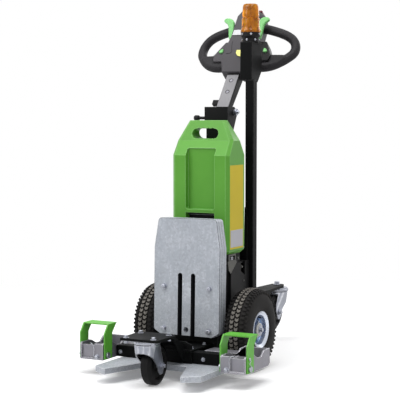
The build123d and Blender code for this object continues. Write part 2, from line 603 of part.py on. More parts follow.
base_plate()
chassis()
transaxle()
ballast_plates()
battery_box()
tiller_bracket()
tiller_arm()
head_piece = tiller_head()
save(head_piece, "tiller_head")
tiller_handles(head_piece)
tiller_controls(head_piece)
mast()
coupling_bar()
front_bracket()
caster("front", *FRONT_SWIVEL, 1)
caster("rear", *REAR_SWIVEL, -1)
rear_arm()
for wheel_name, wheel_side in (("left", -1), ("right", 1)):
    drive_wheel(wheel_name, wheel_side)
    gripper(wheel_name, wheel_side)
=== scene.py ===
"""Visual model of a walk-behind electric tow tractor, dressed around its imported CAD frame."""
from __future__ import annotations

import json
import logging
import math
from dataclasses import dataclass, field
from enum import Enum
from typing import Callable, Iterable, Sequence

import bpy
from mathutils import Matrix, Vector

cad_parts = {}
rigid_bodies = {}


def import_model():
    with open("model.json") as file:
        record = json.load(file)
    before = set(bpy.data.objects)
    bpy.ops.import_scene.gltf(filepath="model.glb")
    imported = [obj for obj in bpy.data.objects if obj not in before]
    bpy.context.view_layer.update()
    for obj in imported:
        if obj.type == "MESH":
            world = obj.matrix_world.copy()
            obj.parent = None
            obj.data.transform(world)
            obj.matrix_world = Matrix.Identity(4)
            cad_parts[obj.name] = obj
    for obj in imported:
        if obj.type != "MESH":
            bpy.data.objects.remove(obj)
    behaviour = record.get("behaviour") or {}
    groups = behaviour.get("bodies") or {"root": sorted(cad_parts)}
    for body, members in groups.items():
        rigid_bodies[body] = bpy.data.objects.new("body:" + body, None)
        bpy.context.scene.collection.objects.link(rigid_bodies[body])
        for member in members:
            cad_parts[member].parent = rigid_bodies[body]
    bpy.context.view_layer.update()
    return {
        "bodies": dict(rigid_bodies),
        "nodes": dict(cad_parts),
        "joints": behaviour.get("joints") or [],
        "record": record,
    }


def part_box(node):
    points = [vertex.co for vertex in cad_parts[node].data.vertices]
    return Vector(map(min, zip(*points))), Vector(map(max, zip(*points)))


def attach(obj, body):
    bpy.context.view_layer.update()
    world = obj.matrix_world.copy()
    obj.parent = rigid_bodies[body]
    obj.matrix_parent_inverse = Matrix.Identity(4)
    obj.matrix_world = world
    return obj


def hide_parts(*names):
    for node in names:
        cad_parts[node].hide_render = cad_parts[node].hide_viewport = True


LOG = logging.getLogger("tow_tractor")
Colour = tuple[float, float, float]
Point = Sequence[float]
FaceTest = Callable[[bpy.types.MeshPolygon], bool]

# Where the drive wheels, the ballast's face and the tiller's pivot lie, in mm and radians
AXLE_Y, AXLE_Z, TRACK_HALF = -86.0, 130.0, 161.0
PLATE_Y, PLATE_Z = -128.0, 300.0
TILT_Y, TILT_Z, TILT_LEAN = 127.0, 812.0, math.radians(37.0)
TILLER_UP = Vector((0.0, math.sin(TILT_LEAN), math.cos(TILT_LEAN)))
TILLER_OUT = Vector((0.0, -math.cos(TILT_LEAN), math.sin(TILT_LEAN)))
PLATE_LEAN = math.radians(1.56)
PLATE_OUT = Vector((0.0, -math.cos(PLATE_LEAN), math.sin(PLATE_LEAN)))
RIGHT, FRONT, UP = Vector((1.0, 0.0, 0.0)), Vector((0.0, -1.0, 0.0)), Vector((0.0, 0.0, 1.0))


def at(x: float, y: float, z: float) -> Vector:
    """Return a point given in millimetres from the drive axle as metres in the row frame."""
    return Vector((x, y + AXLE_Y, z)) / 1000.0


def tiller(x: float, u: float, n: float) -> Vector:
    """Return a point of the tiller, u along the arm and n to its front, in the row frame."""
    return at(x, TILT_Y, TILT_Z) + (TILLER_UP * u + TILLER_OUT * n) / 1000.0


def on_ballast(x: float, z: float) -> Vector:
    """Return the point of the ballast's leaning front face at x and z."""
    return at(x, PLATE_Y + (z - PLATE_Z) * math.tan(PLATE_LEAN), z)


class Side(Enum):
    """The two sides of the tug, seen from its coupling."""

    LEFT = ("left", -1)
    RIGHT = ("right", 1)

    @property
    def tag(self) -> str:
        """Return the side's word in node names."""
        return self.value[0]

    @property
    def sign(self) -> int:
        """Return the side's direction along X."""
        return self.value[1]


# Shader tools


class Graph:
    """A small writer of shader nodes."""

    def __init__(self, tree: bpy.types.NodeTree) -> None:
        """Take over an empty node tree.

        Args:
            tree: The node tree that is written.
        """
        self.tree = tree

    def add(self, kind: str, **values: object) -> bpy.types.Node:
        """Add one node.

        Args:
            kind: The node's type name without its prefix, such as TexNoise.
            values: Attributes, or input sockets written with underscores. A socket value
                may be another node's output, which is then linked.

        Returns:
            The new node.
        """
        prefix = "" if kind.startswith("NodeGroup") else "ShaderNode"
        node = self.tree.nodes.new(prefix + kind)
        for name, value in values.items():
            if hasattr(node, name) and name not in node.inputs:
                setattr(node, name, value)
                continue
            self.feed(node, name.replace("_", " "), value)
        return node

    def feed(self, node: bpy.types.Node, name: str | int, value: object) -> None:
        """Set or link one input socket.

        Args:
            node: The node that has the socket.
            name: The socket's name or number.
            value: A plain value, or an output socket.
        """
        socket = node.inputs[name]
        if isinstance(value, bpy.types.NodeSocket):
            self.tree.links.new(value, socket)
        elif socket.type == "RGBA" and len(value) == 3:
            socket.default_value = (*value, 1.0)
        else:
            socket.default_value = value

    def math(self, operation: str, *values: object) -> bpy.types.NodeSocket:
        """Add a Math node and return its output.

        Args:
            operation: The Math node's operation.
            values: Its inputs in order.

        Returns:
            The result socket.
        """
        node = self.tree.nodes.new("ShaderNodeMath")
        node.operation = operation
        for index, value in enumerate(values):
            self.feed(node, index, value)
        return node.outputs[0]

    def ramp(self, value: bpy.types.NodeSocket, low: float, high: float) -> bpy.types.NodeSocket:
        """Map a value from low..high to 0..1, clamped.

        Args:
            value: The socket that is mapped.
            low: The value that becomes 0.
            high: The value that becomes 1.

        Returns:
            The mapped socket.
        """
        node = self.add("MapRange", clamp=True)
        self.feed(node, 0, value)
        for index, number in ((1, low), (2, high), (3, 0.0), (4, 1.0)):
            self.feed(node, index, number)
        return node.outputs[0]

    def mix(self, mask: object, first: object, second: object) -> bpy.types.NodeSocket:
        """Mix two colours by a mask.

        Args:
            mask: The share of the second colour.
            first: The colour where the mask is 0.
            second: The colour where the mask is 1.

        Returns:
            The mixed colour.
        """
        node = self.tree.nodes.new("ShaderNodeMix")
        node.data_type = "RGBA"
        self.feed(node, 0, mask)
        self.feed(node, 6, first)
        self.feed(node, 7, second)
        return node.outputs[2]

    def between(self, mask: object, first: float, second: float) -> bpy.types.NodeSocket:
        """Mix two numbers by a mask and return the result socket."""
        return self.math("ADD", self.math("MULTIPLY", mask, second - first), first)


def new_group(name: str, inputs: Sequence[tuple[str, float]], outputs: Sequence[str]) -> tuple:
    """Start a shader node group with float sockets.

    Args:
        name: The group's name.
        inputs: Each input's name and default value.
        outputs: The names of the outputs.

    Returns:
        The group, its graph, its input node and its output node.
    """
    tree = bpy.data.node_groups.new(name, "ShaderNodeTree")
    for label, default in inputs:
        socket = tree.interface.new_socket(label, in_out="INPUT", socket_type="NodeSocketFloat")
        socket.default_value = default
    for label in outputs:
        tree.interface.new_socket(label, in_out="OUTPUT", socket_type="NodeSocketFloat")
    graph = Graph(tree)
    return tree, graph, tree.nodes.new("NodeGroupInput"), tree.nodes.new("NodeGroupOutput")


class Effects:
    """Shader node groups that several finishes share."""

    def __init__(self) -> None:
        """Build each group once."""
        self.grain = self._grain()
        self.wear = self._wear()
        self.dust = self._dust()
        self.spangle = self._spangle()
        self.rings = self._rings()

    def _grain(self) -> bpy.types.NodeTree:
        """Return fine moulding or powder grain with slow blotches."""
        tree, g, start, end = new_group(
            "surface_grain", (("Scale", 900.0), ("Blotch Scale", 9.0)), ("Height", "Blotch"))
        place = g.add("TexCoord").outputs["Object"]
        fine = g.add("TexNoise", Vector=place, Scale=start.outputs["Scale"], Detail=2.0)
        slow = g.add("TexNoise", Vector=place, Scale=start.outputs["Blotch Scale"], Detail=4.0)
        g.feed(end, "Height", fine.outputs["Fac"])
        g.feed(end, "Blotch", g.ramp(slow.outputs["Fac"], 0.3, 0.7))
        return tree

    def _wear(self) -> bpy.types.NodeTree:
        """Return a mask of edges, broken up by noise, for rubbed paint and for painted edge
        highlights.
        """
        tree, g, start, end = new_group(
            "edge_wear", (("Width", 0.0012), ("Amount", 0.5), ("Break", 1.0)), ("Mask",))
        soft = g.add("Bevel", samples=4)
        g.feed(soft, "Radius", start.outputs["Width"])
        hard = g.add("NewGeometry")
        turn = g.add("VectorMath", operation="DOT_PRODUCT")
        g.feed(turn, 0, soft.outputs["Normal"])
        g.feed(turn, 1, hard.outputs["True Normal"])
        edge = g.ramp(g.math("SUBTRACT", 1.0, turn.outputs["Value"]), 0.004, 0.045)
        place = g.add("TexCoord").outputs["Object"]
        patch = g.add("TexNoise", Vector=place, Scale=85.0, Detail=5.0, Roughness=0.65)
        gaps = g.math("SUBTRACT", 1.0, g.ramp(patch.outputs["Fac"], 0.42, 0.62))
        broken = g.math("SUBTRACT", 1.0, g.math("MULTIPLY", gaps, start.outputs["Break"]))
        g.feed(end, "Mask", g.math("MULTIPLY", g.math("MULTIPLY", edge, broken),
                                   start.outputs["Amount"]))
        return tree

    def _dust(self) -> bpy.types.NodeTree:
        """Return a mask of dust that lies on upward faces and low on the machine."""
        tree, g, start, end = new_group("floor_dust", (("Top", 0.35), ("Amount", 0.4)), ("Mask",))
        place = g.add("TexCoord").outputs["Object"]
        split = g.add("SeparateXYZ", Vector=place)
        up = g.add("SeparateXYZ", Vector=g.add("NewGeometry").outputs["Normal"])
        low = g.math("SUBTRACT", 1.0, g.math("DIVIDE", split.outputs["Z"], start.outputs["Top"]))
        low = g.math("MAXIMUM", low, 0.0)
        lying = g.math("MAXIMUM", up.outputs["Z"], 0.0)
        cloud = g.add("TexNoise", Vector=place, Scale=24.0, Detail=6.0, Roughness=0.7)
        speck = g.ramp(cloud.outputs["Fac"], 0.4, 0.75)
        total = g.math("ADD", low, g.math("MULTIPLY", lying, 0.35))
        g.feed(end, "Mask", g.math("MULTIPLY", g.math("MULTIPLY", total, speck),
                                   start.outputs["Amount"]))
        return tree

    def _spangle(self) -> bpy.types.NodeTree:
        """Return the crystal mottling of dipped zinc, with runs down the plate."""
        tree, g, start, end = new_group("zinc_spangle", (("Scale", 60.0),),
                                        ("Shade", "Runs", "Specks"))
        place = g.add("TexCoord").outputs["Object"]
        warp = g.add("TexNoise", Vector=place, Scale=30.0, Detail=3.0)
        push = g.add("VectorMath", operation="MULTIPLY_ADD")
        g.feed(push, 0, warp.outputs["Color"])
        g.feed(push, 1, (0.03, 0.03, 0.03))
        g.feed(push, 2, place)
        cells = g.add("TexVoronoi", Vector=push.outputs[0], Scale=start.outputs["Scale"])
        shade = g.add("SeparateColor", Color=cells.outputs["Color"])
        stretch = g.add("VectorMath", operation="MULTIPLY")
        g.feed(stretch, 0, place)
        g.feed(stretch, 1, (1.0, 1.0, 0.22))
        runs = g.add("TexNoise", Vector=stretch.outputs[0], Scale=105.0, Detail=6.0, Roughness=0.7)
        fine = g.add("TexNoise", Vector=place, Scale=420.0, Detail=2.0)
        height = g.add("SeparateXYZ", Vector=place)
        low = g.ramp(height.outputs["Z"], 0.30, 0.12)
        g.feed(end, "Specks", g.math("MULTIPLY", g.ramp(fine.outputs["Fac"], 0.60, 0.68), low))
        g.feed(end, "Shade", shade.outputs["Red"])
        g.feed(end, "Runs", g.ramp(runs.outputs["Fac"], 0.40, 0.60))
        return tree

    def _rings(self) -> bpy.types.NodeTree:
        """Return a mask of what lies between two radii round the drive axle."""
        tree, g, start, end = new_group("axle_ring", (("Low", 0.02), ("High", 0.05)), ("Mask",))
        flat = g.add("VectorMath", operation="MULTIPLY_ADD")
        g.feed(flat, 0, g.add("TexCoord").outputs["Object"])
        g.feed(flat, 1, (0.0, 1.0, 1.0))
        g.feed(flat, 2, (0.0, -AXLE_Y / 1000.0, -AXLE_Z / 1000.0))
        reach = g.add("VectorMath", operation="LENGTH")
        g.feed(reach, 0, flat.outputs[0])
        over = g.math("GREATER_THAN", reach.outputs["Value"], start.outputs["Low"])
        under = g.math("LESS_THAN", reach.outputs["Value"], start.outputs["High"])
        g.feed(end, "Mask", g.math("MULTIPLY", over, under))
        return tree


@dataclass(frozen=True)
class Finish:
    """A painted, moulded or plated finish with grain, blotches, rubbed edges or painted edge
    highlights, and dust.
    """

    slot: str
    colour: Colour
    second: Colour
    roughness: float = 0.5
    rough_spread: float = 0.1
    metallic: float = 0.0
    grain: float = 900.0
    depth: float = 0.15
    reach: float = 0.0002
    # Edge colour: rubbed paint on the black finishes, a painted highlight on zinc and green parts
    wear: float = 0.0
    worn: Colour = (0.45, 0.45, 0.46)
    worn_metal: float = 0.9
    worn_width: float = 0.0012
    worn_break: float = 1.0
    blotch: float = 9.0
    dust: float = 0.25
    dusty: Colour = (0.30, 0.28, 0.25)
    specular: float = 0.5
    coat: float = 0.0
    coat_roughness: float = 0.12
    dust_roughness: float = 0.9

    def make(self, name: str, effects: Effects) -> bpy.types.Material:
        """Build the finish as a node material.

        Args:
            name: The material's name.
            effects: The shared shader groups.

        Returns:
            The new material.
        """
        material = bpy.data.materials.new(name)
        material.use_nodes = True
        material.node_tree.nodes.clear()
        g = Graph(material.node_tree)
        shader = g.add("BsdfPrincipled")
        g.feed(shader, "Specular IOR Level", self.specular)
        g.feed(shader, "Coat Weight", self.coat)
        g.feed(shader, "Coat Roughness", self.coat_roughness)
        grain = self.group(g, effects.grain, Scale=self.grain, Blotch_Scale=self.blotch)
        colour = g.mix(grain.outputs["Blotch"], self.colour, self.second)
        rough = g.between(grain.outputs["Blotch"], self.roughness,
                          self.roughness + self.rough_spread)
        metal: object = self.metallic
        # Edge mask: rubbed paint on the black finishes; on zinc and green parts its lighter colour
        # is a painted highlight
        if self.wear:
            mask = self.group(g, effects.wear, Amount=self.wear, Width=self.worn_width,
                              Break=self.worn_break).outputs["Mask"]
            metal = g.between(mask, self.metallic, self.worn_metal)
        colour, rough = self.pattern(g, effects, colour, rough)
        if self.wear:
            colour = g.mix(mask, colour, self.worn)
        if self.dust:
            mask = self.group(g, effects.dust, Amount=self.dust).outputs["Mask"]
            colour = g.mix(mask, colour, self.dusty)
            rough = g.math("MAXIMUM", rough, g.math("MULTIPLY", mask, self.dust_roughness))
        bump = g.add("Bump", Height=grain.outputs["Height"], Strength=self.depth,
                     Distance=self.reach)
        g.feed(shader, "Base Color", colour)
        g.feed(shader, "Roughness", rough)
        g.feed(shader, "Metallic", metal)
        g.feed(shader, "Normal", bump.outputs["Normal"])
        out = g.add("OutputMaterial")
        g.feed(out, "Surface", shader.outputs[0])
        return material

    @staticmethod
    def group(g: Graph, tree: bpy.types.NodeTree, **values: float) -> bpy.types.Node:
        """Place a shared group in a material with its own values."""
        node = g.tree.nodes.new("ShaderNodeGroup")
        node.node_tree = tree
        for name, value in values.items():
            g.feed(node, name.replace("_", " "), value)
        return node

    def pattern(self, g: Graph, effects: Effects, colour: object, rough: object) -> tuple:
        """Return the colour and roughness with the finish's own pattern, here none."""
        return colour, rough


@dataclass(frozen=True)
class DippedZinc(Finish):
    """Hot-dip galvanising: crystals, runs and dull patches, with a painted dark reflection on faces
    turned down.
    """

    scale: float = 60.0
    dark: Colour = (0.27, 0.285, 0.32)
    mottle: float = 0.35
    runs: float = 0.3
    specks: float = 0.0
    speck: Colour = (0.72, 0.73, 0.74)
    # Painted reflection: how far faces turned down take the darker colour below
    sky: float = 0.0
    underside: Colour = (0.10, 0.105, 0.12)
    crystal_roughness: float = 0.12

    def pattern(self, g: Graph, effects: Effects, colour: object, rough: object) -> tuple:
        """Return the colour and roughness with crystals, runs and the painted dark reflection on
        faces turned down.
        """
        spangle = self.group(g, effects.spangle, Scale=self.scale)
        mask = g.math("MULTIPLY", spangle.outputs["Shade"], self.mottle)
        colour = g.mix(mask, colour, self.dark)
        colour = g.mix(g.math("MULTIPLY", spangle.outputs["Runs"], self.runs), colour, self.second)
        colour = g.mix(g.math("MULTIPLY", spangle.outputs["Specks"], self.specks), colour,
                       self.speck)
        # Painted reflection: faces that turn down are darkened
        if self.sky:
            up = g.add("SeparateXYZ", Vector=g.add("NewGeometry").outputs["Normal"])
            under = g.math("SUBTRACT", 1.0, g.ramp(up.outputs["Z"], -0.35, 0.35))
            colour = g.mix(g.math("MULTIPLY", under, self.sky), colour, self.underside)
        rough = g.math("ADD", rough, g.math("MULTIPLY", spangle.outputs["Shade"],
                                            self.crystal_roughness))
        return colour, rough


@dataclass(frozen=True)
class RimZinc(DippedZinc):
    """Plated rim whose recessed disc is blue, with a painted highlight on its outer edge."""

    # Painted highlight: the light colour of the rim's outer band
    ring: Colour = (0.62, 0.66, 0.74)
    dish: Colour = (0.12, 0.20, 0.36)
    hub: float = 0.0225
    step: float = 0.046
    edge: float = 0.056
    tinted: float = 0.9

    def pattern(self, g: Graph, effects: Effects, colour: object, rough: object) -> tuple:
        """Return the colour and roughness with the blue disc and the painted highlight on the outer
        edge.
        """
        colour, rough = super().pattern(g, effects, colour, rough)
        for low, high, tint in ((self.hub, self.step, self.dish),
                                (self.step, self.edge, self.ring)):
            mask = self.group(g, effects.rings, Low=low, High=high).outputs["Mask"]
            colour = g.mix(g.math("MULTIPLY", mask, self.tinted), colour, tint)
        return colour, rough


@dataclass(frozen=True)
class Tread(Finish):
    """Tyre rubber with dusty block tops."""

    top: Colour = (0.205, 0.190, 0.172)
    inner: float = 0.1278
    outer: float = 0.14

    def pattern(self, g: Graph, effects: Effects, colour: object, rough: object) -> tuple:
        """Return the colour and roughness with dust on the tops of the blocks."""
        mask = self.group(g, effects.rings, Low=self.inner, High=self.outer).outputs["Mask"]
        place = g.add("TexCoord").outputs["Object"]
        cloud = g.add("TexNoise", Vector=place, Scale=140.0, Detail=4.0)
        share = g.between(g.ramp(cloud.outputs["Fac"], 0.3, 0.7), 0.55, 1.0)
        colour = g.mix(g.math("MULTIPLY", mask, share), colour, self.top)
        return colour, rough


@dataclass(frozen=True)
class Lens(Finish):
    """Clear coloured moulding with a lit core."""

    glow: float = 0.35
    transmission: float = 0.6
    refraction: float = 1.35

    def make(self, name: str, effects: Effects) -> bpy.types.Material:
        """Build the lens with transmission and a faint inner glow.

        Args:
            name: The material's name.
            effects: The shared shader groups.

        Returns:
            The new material.
        """
        material = super().make(name, effects)
        shader = next(n for n in material.node_tree.nodes if n.type == "BSDF_PRINCIPLED")
        shader.inputs["Transmission Weight"].default_value = self.transmission
        shader.inputs["IOR"].default_value = self.refraction
        shader.inputs["Emission Color"].default_value = (*self.colour, 1.0)
        shader.inputs["Emission Strength"].default_value = self.glow
        return material


# Lighter edge colours of the zinc and green finishes are painted highlights; on the black finishes
# they are rubbed paint
FINISHES: dict[str, Finish] = {
    "galvanised": DippedZinc("galvanised", (0.55, 0.58, 0.63), (0.36, 0.385, 0.43), 0.44, 0.16,
                             metallic=0.3, depth=0.12, dust=0.2, scale=170.0, mottle=0.62,
                             runs=0.85, specks=0.9, wear=0.95, worn=(0.84, 0.86, 0.90),
                             worn_metal=0.4, worn_width=0.0022, worn_break=0.45),
    # Plated zinc, with a painted dark reflection on faces turned down
    "zinc_plated": DippedZinc("zinc_plated", (0.50, 0.525, 0.60), (0.40, 0.42, 0.49), 0.22, 0.12,
                              metallic=0.85, depth=0.05, dust=0.15, scale=160.0, mottle=0.10,
                              wear=0.7, worn=(0.85, 0.86, 0.9), worn_break=0.4, sky=0.75),
    "dull_zinc": DippedZinc("zinc_plated", (0.255, 0.25, 0.28), (0.205, 0.20, 0.225), 0.34, 0.12,
                            metallic=0.6, depth=0.08, dust=0.1, scale=120.0, mottle=0.12,
                            wear=0.95, worn=(0.85, 0.85, 0.9), worn_width=0.0014, worn_break=0.25),
    # Dark zinc: painted shade on the latch under the battery; the chassis bolts use it too
    "dark_zinc": DippedZinc("zinc_plated", (0.085, 0.082, 0.070), (0.060, 0.058, 0.050), 0.42,
                            0.12, metallic=0.4, depth=0.08, dust=0.1, scale=120.0, mottle=0.10,
                            wear=0.6, worn=(0.40, 0.40, 0.40), worn_break=0.6),
    "rim_zinc": RimZinc("zinc_plated", (0.36, 0.39, 0.46), (0.28, 0.31, 0.38), 0.20, 0.1,
                        metallic=0.85, depth=0.05, dust=0.1, scale=160.0, mottle=0.10,
                        wear=0.9, worn=(0.9, 0.92, 0.96), worn_width=0.002, worn_break=0.3),
    # Painted shade: near-black zinc on the slot walls and in the seams of the ballast plates
    "painted_shade_zinc": Finish("galvanised", (0.020, 0.020, 0.024), (0.032, 0.032, 0.038), 0.7, 0.1,
                         depth=0.1, grain=400.0, dust=0.0, specular=0.1),
    "hub_zinc": DippedZinc("zinc_plated", (0.46, 0.455, 0.44), (0.36, 0.355, 0.34), 0.34, 0.12,
                           metallic=0.7, depth=0.05, dust=0.2, scale=160.0, mottle=0.10),
    "black_paint": Finish("black_paint", (0.0050, 0.0050, 0.0055), (0.0085, 0.0085, 0.009), 0.42,
                          0.12, depth=0.25, grain=1500.0, wear=0.12, dust=0.04, specular=0.10),
    "mast_paint": Finish("black_paint", (0.0032, 0.0034, 0.0036), (0.0045, 0.0048, 0.0050), 0.45,
                         0.10, depth=0.2, grain=1500.0, wear=0.05, dust=0.0, specular=0.06),
    "green_plastic": Finish("green_plastic", (0.086, 0.295, 0.029), (0.098, 0.318, 0.035), 0.38,
                            0.08, depth=0.3, grain=1300.0, dust=0.0, specular=0.32, wear=0.55,
                            worn=(0.36, 0.68, 0.26), worn_metal=0.0, worn_width=0.0035,
                            worn_break=0.15),
    "green_paint": Finish("green_paint", (0.10, 0.40, 0.035), (0.115, 0.43, 0.045), 0.38, 0.1,
                          depth=0.15, grain=700.0, wear=0.5, worn=(0.50, 0.80, 0.38),
                          worn_metal=0.0, worn_break=0.5, dust=0.05, specular=0.25),
    "black_plastic": Finish("black_plastic", (0.0052, 0.0052, 0.0058), (0.0085, 0.0085, 0.009),
                            0.42, 0.15, depth=0.3, grain=1200.0, dust=0.02, specular=0.15),
    "grip_rubber": Finish("black_plastic", (0.016, 0.015, 0.017), (0.022, 0.021, 0.023), 0.55,
                          0.12, depth=0.35, grain=900.0, dust=0.0, specular=0.18),
    "grey_plastic": Finish("grey_plastic", (0.046, 0.043, 0.048), (0.058, 0.054, 0.060), 0.48,
                           0.12, depth=0.3, grain=1100.0, dust=0.0, specular=0.25),
    "silver_paint": Finish("silver_paint", (0.20, 0.197, 0.207), (0.24, 0.236, 0.248), 0.5, 0.1,
                           metallic=0.2, depth=0.15, grain=600.0, dust=0.0, specular=0.3),
    "tyre_rubber": Tread("tyre_rubber", (0.0105, 0.0100, 0.0100), (0.017, 0.016, 0.0155), 0.70,
                         0.15, depth=0.35, grain=500.0, dust=0.18, dusty=(0.08, 0.072, 0.065),
                         specular=0.16),
    "caster_rubber": Finish("caster_rubber", (0.0042, 0.0042, 0.0046), (0.007, 0.007, 0.007),
                            0.42, 0.15, depth=0.3, grain=600.0, dust=0.03,
                            dusty=(0.06, 0.055, 0.05), specular=0.12),
    "amber_lens": Lens("amber_lens", (0.82, 0.31, 0.004), (0.30, 0.075, 0.001), 0.10, 0.06,
                       depth=0.05, dust=0.0, specular=0.3, glow=0.03, blotch=52.0),
    "amber_core": Finish("amber_lens", (0.34, 0.105, 0.004), (0.06, 0.016, 0.002), 0.3, 0.1,
                         depth=0.1, dust=0.0, specular=0.3, blotch=70.0),
    "alloy": Finish("alloy", (0.40, 0.40, 0.42), (0.48, 0.48, 0.50), 0.4, 0.15, metallic=0.8,
                    depth=0.4, grain=350.0, dust=0.3),
    "yellow_film": Finish("green_plastic", (0.56, 0.44, 0.022), (0.60, 0.47, 0.030), 0.42, 0.08,
                          depth=0.06, dust=0.0, specular=0.15),
    "pale_film": Finish("green_plastic", (0.44, 0.44, 0.48), (0.48, 0.48, 0.52), 0.40, 0.08,
                        depth=0.06, dust=0.0, specular=0.2),
    "badge_film": Finish("grey_plastic", (0.72, 0.70, 0.20), (0.78, 0.76, 0.26), 0.40, 0.08,
                         depth=0.06, dust=0.0, specular=0.3),
    "bright_film": Finish("silver_paint", (0.40, 0.40, 0.42), (0.47, 0.47, 0.49), 0.28, 0.08,
                          metallic=0.3, depth=0.06, dust=0.0),
    "red_rubber": Finish("black_plastic", (0.085, 0.006, 0.010), (0.12, 0.009, 0.013), 0.42, 0.1,
                         depth=0.2, dust=0.0, specular=0.25),
    "green_key": Finish("green_plastic", (0.16, 0.47, 0.15), (0.20, 0.52, 0.18), 0.34, 0.08,
                        depth=0.12, dust=0.0, specular=0.3),
    "dark_glass": Finish("black_plastic", (0.006, 0.006, 0.008), (0.010, 0.010, 0.012), 0.10,
                         0.04, depth=0.0, dust=0.0, coat=0.4),
}


class Paintshop:
    """Makes each finish once and puts it on pieces."""

    def __init__(self) -> None:
        """Build the shared effects; finishes are made when first asked for."""
        self.effects = Effects()
        self.made: dict[str, bpy.types.Material] = {}

    def get(self, name: str) -> bpy.types.Material:
        """Return the material of a finish by name."""
        if name not in self.made:
            self.made[name] = FINISHES[name].make(name, self.effects)
        return self.made[name]

    def touch_up(self, piece: bpy.types.Object, name: str, test: FaceTest) -> None:
        """Give the faces that pass a test a second finish.

        Args:
            piece: The mesh object, already coated.
            name: The second finish's name.
            test: Called with each face, and gives it the second finish where true.
        """
        piece.data.materials.append(self.get(name))
        for face in piece.data.polygons:
            if test(face):
                face.material_index = len(piece.data.materials) - 1

    def coat(self, piece: bpy.types.Object, name: str) -> None:
        """Give a piece one finish all over.

        Args:
            piece: The mesh object.
            name: The finish's name.
        """
        piece.data.materials.clear()
        piece.data.materials.append(self.get(name))


# Modelling tools


